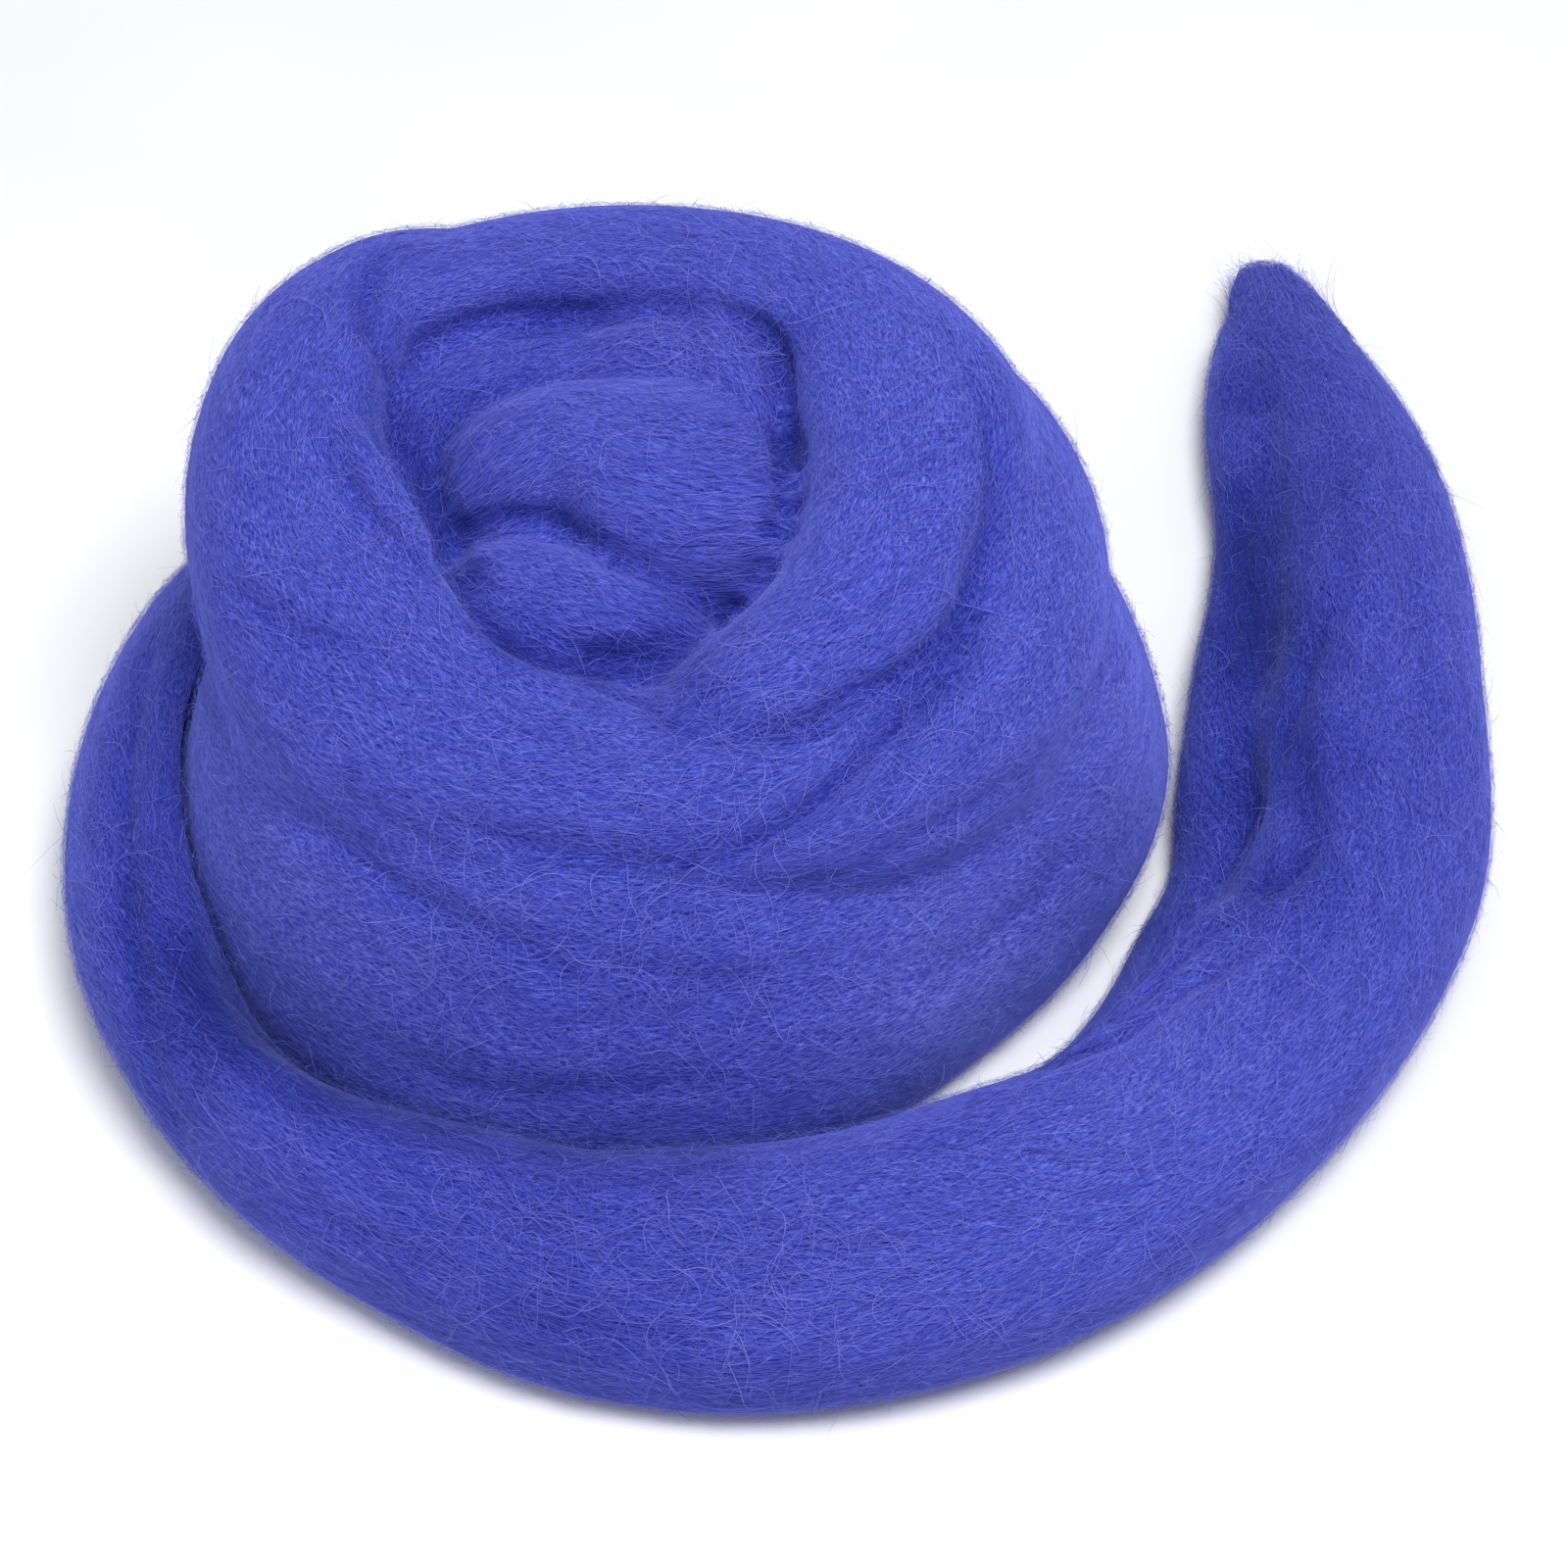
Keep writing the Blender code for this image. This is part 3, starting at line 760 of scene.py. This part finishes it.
def ribbons(name, points, outward, width, tone, material):
    """A mesh of thin ribbons, one for each row of points, with each one's tone as UVs."""
    count, steps = points.shape[:2]
    along = unit(np.gradient(points, axis=1))
    side = unit(np.cross(along, outward)) * width[:, :, None] / 2
    verts = np.stack([points - side, points + side], axis=2) + BALL_AXIS
    verts[..., 2] = np.maximum(verts[..., 2], TABLE_GAP)
    first = (np.arange(count)[:, None] * steps + np.arange(steps - 1)[None, :]) * 2
    quads = np.stack([first, first + 1, first + 3, first + 2], axis=-1).reshape(-1, 4)
    data = bpy.data.meshes.new(name)
    data.vertices.add(count * steps * 2)
    data.vertices.foreach_set("co", (verts * MM).ravel())
    data.loops.add(quads.size)
    data.loops.foreach_set("vertex_index", quads.ravel())
    data.polygons.add(len(quads))
    data.polygons.foreach_set("loop_start", np.arange(len(quads)) * 4)
    data.update(calc_edges=True)
    uv = np.zeros((quads.size, 2))
    uv[:, 0] = np.repeat(tone, (steps - 1) * 4)
    data.uv_layers.new(name="fibre").data.foreach_set("uv", uv.ravel())
    data.shade_smooth()
    data.materials.append(material)
    return add_object(name, data)


def longest_stretch(good):
    """For each row the first and last place of the unbroken stretch of good ones round its middle."""
    middle = good.shape[1] // 2
    ahead = np.minimum.accumulate(good[:, middle:], axis=1).sum(axis=1)
    behind = np.minimum.accumulate(good[:, middle::-1], axis=1).sum(axis=1)
    return middle - behind + 1, middle + ahead - 1


def spread_between(values, first, last, part):
    """Values read at even steps between the first and last place of each row."""
    at = first[:, None] + part[None, :] * (last - first)[:, None]
    low = np.clip(np.floor(at).astype(int), 0, values.shape[1] - 2)
    share = (at - low)[..., None]
    row = np.arange(len(values))[:, None]
    return values[row, low] * (1 - share) + values[row, low + 1] * share


def lay_fibres(surface, count, rng, mean_length, straying):
    """Paths of the fibres that make the combed surface, each lying along its strand with a slight curl."""
    faces = scatter(surface, count, rng)
    which, place = surface.strand_of(surface.centres[faces])
    length = rng.gamma(LENGTH_SHAPE, mean_length / LENGTH_SHAPE, count)
    length = length.clip(SHORTEST_FIBRE, LONGEST_FIBRE * mean_length)
    heading = np.radians(rng.normal(0, straying, count))
    reach = np.linspace(-0.5, 0.5, LAY_POINTS)[None, :] * length[:, None]
    curl = np.zeros_like(reach)
    for low, high, size in FIBRE_CURLS:
        wave = rng.uniform(low, high, count)[:, None]
        phase = rng.uniform(0, 2 * np.pi, count)[:, None]
        curl += rng.normal(0, size, count)[:, None] * np.sin(2 * np.pi * reach / wave + phase)
    paths = np.zeros((count, LAY_POINTS, 3))
    on_strand = np.zeros((count, LAY_POINTS), bool)
    for number, strand in enumerate(surface.strands):
        mine = which == number
        lean = heading[mine] + strand.drift(place[mine, 0], place[mine, 1]) + strand.twist
        run = place[mine, 0:1] + reach[mine] * np.cos(lean)[:, None]
        round_ = place[mine, 1:2] + reach[mine] * np.sin(lean)[:, None] + curl[mine]
        from_strand = surface.centres[faces[mine]] - strand.at(place[mine, 0], place[mine, 1])
        paths[mine] = strand.at(run, round_) + from_strand[:, None]
        on_strand[mine] = (run > 0) & (run < (len(strand.rings) - 1) * RUN_STEP)
    places, outward, gap = surface.nearest(paths)
    whole = on_strand & (gap < OFF_SKIN)
    # A fibre stops where it would leap across a crease.
    on_skin = np.linalg.norm(np.diff(places, axis=1), axis=2)
    on_path = np.linalg.norm(np.diff(paths, axis=1), axis=2)
    leaps = on_skin > LEAP_STRETCH * on_path + LEAP_SLACK
    middle = LAY_POINTS // 2
    whole[:, middle + 1 :] &= ~leaps[:, middle:]
    whole[:, :middle] &= ~leaps[:, :middle]
    first, last = longest_stretch(whole)
    keep = last - first >= FEWEST_STEPS
    part = np.linspace(0, 1, LAY_POINTS)
    places = spread_between(places, first, last, part)[keep]
    outward = unit(spread_between(outward, first, last, part))[keep]
    rise = rng.uniform(*FIBRE_RISE, count)[keep, None] ** 1.5
    lift = rise * arch(part, 0.7)[None, :] - ENDS_SUNK
    # Each fibre's random tone, darkened by the painted shade where it starts.
    tone = (rng.beta(2.2, 2.2, count) - surface.painted_shade_at(faces))[keep]
    places = places + outward * lift[:, :, None]
    width = rng.uniform(*FIBRE_WIDTH, len(places))[:, None] * (0.25 + 0.75 * arch(part, 0.6)[None, :])
    return places, outward, width, tone


def wandering_fibres(surface, count, rng, tufts, *, points, step, turning, rise, width):
    """Loose fibres that wander over the surface in curls and loops, lifting off it here and there."""
    faces = scatter(surface, count, rng, tufts)
    count = len(faces)
    place, outward = surface.centres[faces], surface.normals[faces]
    along = unit(np.cross(outward, rng.normal(size=(count, 3))))
    bend = rng.normal(0, turning, count)
    path, facing = [place], [outward]
    for _ in range(points - 1):
        bend = BEND_KEPT * bend + rng.normal(0, turning * BEND_NEW, count)
        turn = bend * step
        side = np.cross(outward, along)
        along = along * np.cos(turn)[:, None] + side * np.sin(turn)[:, None]
        place, outward, _ = surface.nearest(place + along * step)
        along = unit(along - outward * (along * outward).sum(axis=1, keepdims=True))
        path.append(place)
        facing.append(outward)
    path, facing = np.stack(path, axis=1), np.stack(facing, axis=1)
    part = np.linspace(0, 1, points)[None, :]
    wave = rng.uniform(*LIFTS, (count, 1))
    height = rng.uniform(*LIFT_HEIGHT, (count, 1)) * rise
    lift = height * (0.45 + 0.55 * np.sin(2 * np.pi * (part * wave + rng.uniform(0, 1, (count, 1)))))
    lift = lift * arch(part, 0.4) + LEAST_LIFT
    size = rng.uniform(0.6, 1.3, (count, 1)) * width * (0.35 + 0.65 * arch(part, 0.5))
    # Each fibre's random tone, darkened by the painted shade where it starts.
    tone = rng.random(count) - surface.painted_shade_at(faces)
    return path + facing * lift[:, :, None], facing, size, tone


def standing_fibres(surface, count, rng, *, points, length, width):
    """Short fibres that stand off the surface and blur its outline."""
    faces = scatter(surface, count, rng)
    root, outward = surface.centres[faces], surface.normals[faces]
    sideways = unit(np.cross(outward, rng.normal(size=(count, 3))))
    part = np.linspace(0, 1, points)[None, :, None]
    size = rng.gamma(2.2, length / 2.2, count)[:, None, None]
    climb = rng.uniform(*WISP_CLIMB, count)[:, None, None]
    bend = unit(np.cross(sideways, outward))[:, None] * rng.normal(0, WISP_BEND, count)[:, None, None]
    path = root[:, None] + size * (
        sideways[:, None] * part + outward[:, None] * climb * (part - 0.35 * part**2) + bend * part**2
    )
    facing = unit(np.cross(unit(np.gradient(path, axis=1)), rng.normal(size=(count, 1, 3))))
    taper = (1 - 0.75 * part[..., 0]) * width * rng.uniform(0.7, 1.3, (count, 1))
    # Each fibre's random tone, darkened by the painted shade where it starts.
    tone = rng.random(count) - surface.painted_shade_at(faces)
    return path - outward[:, None] * ROOT_SUNK, facing, taper, tone


def tip_fibres(strand, rng, *, count, points):
    """Fibres that run out of the feathered tip, drawn together a little past its end."""
    start = rng.uniform(0, 1, count) ** 1.3 * TIP_LENGTH
    root = strand.at(start, rng.uniform(0, 1, count) * strand.girth)
    end = strand.rows[0, :3] + rng.normal(0, 1, (count, 3)) * TIP_SPREAD
    forward = unit(strand.rows[0, :3] - strand.rows[TIP_ROWS, :3])
    aim = unit(unit(end - root) + 0.3 * forward + rng.normal(0, 0.07, (count, 3)))
    length = rng.uniform(0.3, 0.9, (count, 1)) * np.linalg.norm(end - root, axis=1, keepdims=True)
    reach = (length + rng.gamma(2, 1.1, (count, 1)).clip(0, PAST_TIP))[:, None]
    part = np.linspace(0, 1, points)[None, :, None]
    sway = rng.normal(0, 0.12, (count, 1, 3)) * np.array([1, 1, 0.2])
    path = root[:, None] + aim[:, None] * reach * part + sway * reach * part**2
    path[..., 2] = path[..., 2].clip(LOWEST_FIBRE)
    facing = np.broadcast_to(unit(np.array([0.1, -0.3, 1.0])), path.shape)
    width = (1 - 0.7 * part[..., 0]) * rng.uniform(0.07, 0.16, (count, 1))
    return path, facing, width, rng.uniform(0, 0.8, count)


# ---------------------------------------------------------------- materials

# The dye's colours along the tone. The darkest is both the darkest dye and painted shade in the hollows, where
# painted shade pushes the tone down.
DARKEST_DYE_AND_HOLLOW_SHADE = (0.016, 0.024, 0.215)
DARK_DYE = (0.022, 0.032, 0.290)
MID_DYE = (0.064, 0.080, 0.475)
PALE_DYE = (0.180, 0.200, 0.650)
DYE_TONES = [(0.0, DARKEST_DYE_AND_HOLLOW_SHADE), (0.06, DARK_DYE), (0.5, MID_DYE), (1.0, PALE_DYE)]
CLOUD_SCALE = 32

# Painted sheen: a paler colour painted into the wool's colour where the surface turns away from the view,
# standing for the light on its loose fibres. Its colour, how far turned it starts, how strong it gets, and how
# quickly it comes up with the tone of the dye.
PAINTED_SHEEN_COLOUR = (0.160, 0.185, 0.950)
SHEEN_START = 0.45
SHEEN_MOST = 0.75
SHEEN_LIFT = 1.7

WOOL_FINISH = {
    "Roughness": 0.85,
    "Specular IOR Level": 0.12,
    "Sheen Weight": 0.4,
    "Sheen Roughness": 0.42,
    "Sheen Tint": (0.36, 0.42, 1.0, 1),
}

# The ground's streaks, one set along the lay and two slanting: the slant in radians and the scales along and
# across. Then the range of the three added up, the palest tone that they give, and their depth.
STREAKS = [(0.0, 40, 300), (0.6, 60, 300), (-0.7, 60, 330)]
STREAK_RANGE = (1.2, 1.8)
STREAK_TONE = 0.8
STREAK_DEPTH = 0.35

# The tones of the dye that each kind of fibre has, from its deepest to its palest. The loose fibres and
# standing wisps are kept paler, partly their own paler colour and partly painted light shining through the
# fuzz at the outline.
FIBRE_TONES = {
    "combed fibre": (0.1, 0.9),
    "curled fibre": (0.35, 0.95),
    "loose fibre": (0.55, 1.0),
    "standing wisp": (0.6, 1.15),
}


def new_group(name, inputs, outputs):
    group = bpy.data.node_groups.new(name, "ShaderNodeTree")
    for label, kind, value in inputs:
        socket = group.interface.new_socket(label, in_out="INPUT", socket_type=kind)
        socket.default_value = value
    for label, kind in outputs:
        group.interface.new_socket(label, in_out="OUTPUT", socket_type=kind)
    return group, group.nodes.new("NodeGroupInput"), group.nodes.new("NodeGroupOutput")


def feed(tree, socket, value):
    """Gives an input a value, or links another node's output to it."""
    if isinstance(value, bpy.types.NodeSocket):
        tree.links.new(value, socket)
    else:
        socket.default_value = value


def add_node(tree, kind, inputs=None, group=None):
    """A node with its inputs fed by name."""
    node = tree.nodes.new("ShaderNode" + kind)
    if group:
        node.node_tree = group
    for label, value in (inputs or {}).items():
        feed(tree, node.inputs[label], value)
    return node


def maths(tree, operation, *values, clamp=False):
    node = tree.nodes.new("ShaderNodeMath")
    node.operation = operation
    node.use_clamp = clamp
    for socket, value in zip(node.inputs, values):
        feed(tree, socket, value)
    return node.outputs[0]


def mixed_colour(tree, share, first, second):
    node = tree.nodes.new("ShaderNodeMix")
    node.data_type = "RGBA"
    sockets = {socket.identifier: socket for socket in node.inputs}
    feed(tree, sockets["Factor_Float"], share)
    feed(tree, sockets["A_Color"], first)
    feed(tree, sockets["B_Color"], second)
    return next(socket for socket in node.outputs if socket.identifier == "Result_Color")


def ramp(tree, share, stops):
    node = add_node(tree, "ValToRGB", {"Fac": share})
    elements = node.color_ramp.elements
    while len(elements) < len(stops):
        elements.new(0.5)
    for element, (position, colour) in zip(elements, stops):
        element.position = position
        element.color = (*colour, 1)
    return node.outputs["Color"]


def uv_of(tree, layer):
    node = add_node(tree, "UVMap")
    node.uv_map = layer
    return node.outputs["UV"]


def dye_group():
    """The dye's colour for a fibre's tone, with the soft cloudiness of a hand-dyed lot."""
    group, given, result = new_group(
        "dyed wool",
        [("Tone", "NodeSocketFloat", 0.5), ("Cloudiness", "NodeSocketFloat", 0.12)],
        [("Color", "NodeSocketColor")],
    )
    place = add_node(group, "TexCoord").outputs["Object"]
    cloud = add_node(group, "TexNoise", {"Vector": place, "Scale": CLOUD_SCALE, "Detail": 3})
    shift = maths(group, "SUBTRACT", cloud.outputs["Fac"], 0.5)
    tone = maths(group, "MULTIPLY_ADD", shift, given.outputs["Cloudiness"], given.outputs["Tone"])
    feed(group, result.inputs["Color"], ramp(group, tone, DYE_TONES))
    return group


def painted_sheen_group():
    """A colour with a painted sheen over it, paler where the surface turns away from the view."""
    group, given, result = new_group(
        "painted edge sheen",
        [
            ("Color", "NodeSocketColor", (*MID_DYE, 1)),
            ("Tone", "NodeSocketFloat", 0.5),
            ("Facing", "NodeSocketFloat", 0.0),
        ],
        [("Color", "NodeSocketColor")],
    )
    turned = {"Value": given.outputs["Facing"], "From Min": SHEEN_START, "To Max": SHEEN_MOST}
    share = add_node(group, "MapRange", turned).outputs["Result"]
    lifted = maths(group, "MULTIPLY", given.outputs["Tone"], SHEEN_LIFT, clamp=True)
    both = maths(group, "MULTIPLY", share, lifted)
    feed(group, result.inputs["Color"], mixed_colour(group, both, given.outputs["Color"], (*PAINTED_SHEEN_COLOUR, 1)))
    return group


def new_wool(name):
    material = bpy.data.materials.new(name)
    material.use_nodes = True
    shader = material.node_tree.nodes["Principled BSDF"]
    for label, value in WOOL_FINISH.items():
        shader.inputs[label].default_value = value
    return material, material.node_tree, shader


def colour_wool(tree, shader, groups, tone):
    """Gives a wool the dye's colour for its tone, with a painted sheen at its edges.

    How far the surface turns away is read here and not in the group, where the export couldn't follow it.
    """
    dyed = add_node(tree, "Group", {"Tone": tone}, groups["dye"])
    # Painted sheen: the base colour is made paler where the surface turns away from the view.
    facing = add_node(tree, "LayerWeight", {"Blend": 0.5}).outputs["Facing"]
    given = {"Color": dyed.outputs["Color"], "Tone": tone, "Facing": facing}
    sheen = add_node(tree, "Group", given, groups["sheen"])
    feed(tree, shader.inputs["Base Color"], sheen.outputs["Color"])


def ground_material(groups):
    """The felted ground under the fibres: fine streaks along the lay, crossed by slanting ones."""
    material, tree, shader = new_wool("combed wool ground")
    lay = uv_of(tree, "lay")
    total = None
    for slant, along, across in STREAKS:
        turn = {"Vector": lay, "Rotation": (0, 0, slant), "Scale": (along, across, 1)}
        turned = add_node(tree, "Mapping", turn).outputs["Vector"]
        streak = {"Vector": turned, "Scale": 1, "Detail": 3, "Distortion": 0.6}
        height = add_node(tree, "TexNoise", streak).outputs["Fac"]
        total = height if total is None else maths(tree, "ADD", total, height)
    low, high = STREAK_RANGE
    streaks = {"Value": total, "From Min": low, "From Max": high, "To Max": STREAK_TONE}
    tone = add_node(tree, "MapRange", streaks).outputs["Result"]
    # The skin's painted shade, read from its UV layer named dye, darkens the streaks' tone.
    painted_shading = add_node(tree, "SeparateXYZ", {"Vector": uv_of(tree, "dye")}).outputs["X"]
    colour_wool(tree, shader, groups, maths(tree, "SUBTRACT", tone, painted_shading))
    bump = add_node(tree, "Bump", {"Strength": 0.7, "Distance": STREAK_DEPTH * MM, "Height": total})
    feed(tree, shader.inputs["Normal"], bump.outputs["Normal"])
    return material


def fibre_material(kind, groups):
    """A fibre's finish, in which each fibre has a tone of its own."""
    material, tree, shader = new_wool(kind)
    own = add_node(tree, "SeparateXYZ", {"Vector": uv_of(tree, "fibre")}).outputs["X"]
    low, high = FIBRE_TONES[kind]
    tone = add_node(tree, "MapRange", {"Value": own, "To Min": low, "To Max": high})
    tone.clamp = False
    colour_wool(tree, shader, groups, tone.outputs["Result"])
    return material


# ---------------------------------------------------------------- putting it together


def finish_skin(surface, material):
    """Gives the skin its lay along and round the strands, and its painted shade, as UVs, and moves it to its
    place.
    """
    thing = surface.thing
    which, _ = surface.strand_of(surface.centres)
    corners = np.concatenate(surface.polygons)
    owner = np.repeat(which, [len(face) for face in surface.polygons])
    lay = np.zeros((len(corners), 2))
    for number, strand in enumerate(surface.strands):
        mine = np.unique(corners[owner == number])
        place = np.zeros((len(surface.points), 2))
        if len(mine):
            samples, _ = surface.look_up(number, surface.points[mine])
            place[mine] = strand.place_of(surface.points[mine], samples) + (LAY_APART * number, 0)
        lay[owner == number] = place[corners[owner == number]]
    thing.data.uv_layers.new(name="lay").data.foreach_set("uv", (lay / LAY_UNIT).ravel())
    # The painted shade goes into the UV layer named dye.
    depth = np.column_stack([surface.depth, np.zeros(len(surface.points))])[corners]
    thing.data.uv_layers.new(name="dye").data.foreach_set("uv", depth.ravel())
    points = surface.points - vectors_of(thing.data, "normal") * SKIN_INSET + BALL_AXIS
    points[:, 2] = np.maximum(points[:, 2], TABLE_GAP)
    thing.data.vertices.foreach_set("co", (points * MM).ravel())
    thing.data.materials.clear()
    thing.data.materials.append(material)
    thing.data.shade_smooth()
    thing.data.update()


def on_root(thing):
    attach(thing, "root")
    return thing


def dress(surface, name, wool, tufts, materials, rng):
    """All the fibres of one skin, in pieces small enough to keep."""
    made = []
    for batch, start in enumerate(range(0, wool["combed"], FIBRES_PER_PIECE)):
        count = min(FIBRES_PER_PIECE, wool["combed"] - start)
        combed = lay_fibres(surface, count, rng, wool["length"], wool["straying"])
        made.append(ribbons(f"{name}_combed_fibres_{batch + 1}", *combed, materials["combed fibre"]))
    short = wandering_fibres(surface, wool["curls"], rng, (), **SHORT_CURLS)
    made.append(ribbons(f"{name}_short_curls", *short, materials["curled fibre"]))
    loose = wandering_fibres(surface, wool["loose"], rng, tufts, **LOOSE_FIBRES)
    made.append(ribbons(f"{name}_loose_fibres", *loose, materials["loose fibre"]))
    wisps = standing_fibres(surface, wool["wisps"], rng, **SURFACE_WISPS)
    made.append(ribbons(f"{name}_surface_wisps", *wisps, materials["standing wisp"]))
    return [on_root(thing) for thing in made]


# ---------------------------------------------------------------- the view

VIEW_CENTRE = BALL_AXIS + (27, -14, 30)
VIEW_ELEVATION = np.radians(43)
VIEW_DISTANCE = 830
LENS = 85

# In metres and watts: each softbox's place, width and power, and what they aim at.
SOFTBOXES = {"key": ((0.35, -0.5, 1.6), 0.9, 26.5), "fill": ((-1.1, -0.6, 1.0), 1.0, 3)}
LIT_PLACE = Vector((0, 0, 0.03))
SKY = (0.95, 0.97, 1.0)
SKY_STRENGTH = 0.5
HALF_TABLE = 3.0
PAPER_TONES = [(0.3, (0.83, 0.83, 0.835)), (0.7, (0.86, 0.86, 0.865))]


def add_camera():
    data = bpy.data.cameras.new("view")
    data.lens = LENS
    camera = add_object("view", data)
    away = np.array([0, -np.cos(VIEW_ELEVATION), np.sin(VIEW_ELEVATION)])
    camera.location = (VIEW_CENTRE + VIEW_DISTANCE * away) * MM
    camera.rotation_euler = (np.pi / 2 - VIEW_ELEVATION, 0, 0)
    bpy.context.scene.camera = camera


def add_softbox(name, place, size, power):
    data = bpy.data.lights.new(name, "AREA")
    data.shape = "DISK"
    data.size = size
    data.energy = power
    light = add_object(name, data)
    light.location = place
    light.rotation_euler = (LIT_PLACE - Vector(place)).to_track_quat("-Z", "Y").to_euler()


def add_studio():
    scene = bpy.context.scene
    scene.view_settings.view_transform = "Standard"
    scene.view_settings.look = "None"
    world = bpy.data.worlds.new("studio")
    world.use_nodes = True
    sky = world.node_tree.nodes["Background"]
    sky.inputs["Color"].default_value = (*SKY, 1)
    sky.inputs["Strength"].default_value = SKY_STRENGTH
    scene.world = world
    for name, (place, size, power) in SOFTBOXES.items():
        add_softbox(name, place, size, power)


def add_table():
    corners = [(HALF_TABLE * x, HALF_TABLE * y, 0) for x, y in ((-1, -1), (1, -1), (1, 1), (-1, 1))]
    data = bpy.data.meshes.new("table")
    data.from_pydata(corners, [], [(0, 1, 2, 3)])
    table = add_object("table", data)
    paper = bpy.data.materials.new("white paper")
    paper.use_nodes = True
    tree = paper.node_tree
    shader = tree.nodes["Principled BSDF"]
    shader.inputs["Roughness"].default_value = 0.9
    grain = add_node(tree, "TexNoise", {"Scale": 60})
    feed(tree, shader.inputs["Base Color"], ramp(tree, grain.outputs["Fac"], PAPER_TONES))
    data.materials.append(paper)


def main():
    rng = np.random.default_rng(SEED)
    groups = {"dye": dye_group(), "sheen": painted_sheen_group()}
    ground = ground_material(groups)
    materials = {kind: fibre_material(kind, groups) for kind in FIBRE_TONES}
    ball_strands = [
        Strand(BASE_TURN, wound=True, seed=1),
        Strand(UPPER_TURN, wound=True, seed=2),
        Strand(FOLDED_LOBE, wound=True, twist=0.12, seed=3),
        Strand(TOP_TURN, wound=True, twist=-0.12, seed=4),
        Strand(HOLLOW_STRAND, wound=True, seed=5),
        Strand(MIDDLE_FOLD, twist=0.15, seed=6),
        Strand(BACK_FOLD, seed=11),
        Strand(TUCKED_FOLD, seed=7),
        Strand(EDGE_LOCK, seed=12),
    ]
    end_strands = [Strand(LOOSE_END, seed=8), Strand(INNER_HALF, seed=9), Strand(BEND_ROLL, seed=10)]
    ball, ball_hollow = fused_skin("wound_ball_wool", ball_strands, [CORE_LOBE], BALL_SOFTENING, BALL_CREASES)
    end, end_hollow = fused_skin("loose_end_wool", end_strands, [], END_SOFTENING, END_CREASES)
    lay_beside(end, ball, end_hollow)
    ball_surface = Surface(ball, ball_hollow, ball_strands, BALL_PAINTED_LIGHT_AND_SHADE)
    end_surface = Surface(end, end_hollow, end_strands, END_PAINTED_LIGHT_AND_SHADE)
    finish_skin(ball_surface, ground)
    finish_skin(end_surface, ground)
    on_root(ball)
    on_root(end)
    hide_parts("wound_ball")
    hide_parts("loose_end")
    dress(ball_surface, "ball", BALL_WOOL, BALL_TUFTS, materials, rng)
    on_end = dress(end_surface, "end", END_WOOL, END_TUFTS, materials, rng)
    tip = tip_fibres(end_strands[0], rng, **TIP_FIBRES)
    on_end.append(on_root(ribbons("end_feathered_tip", *tip, materials["combed fibre"])))
    add_camera()
    add_studio()
    add_table()


main()
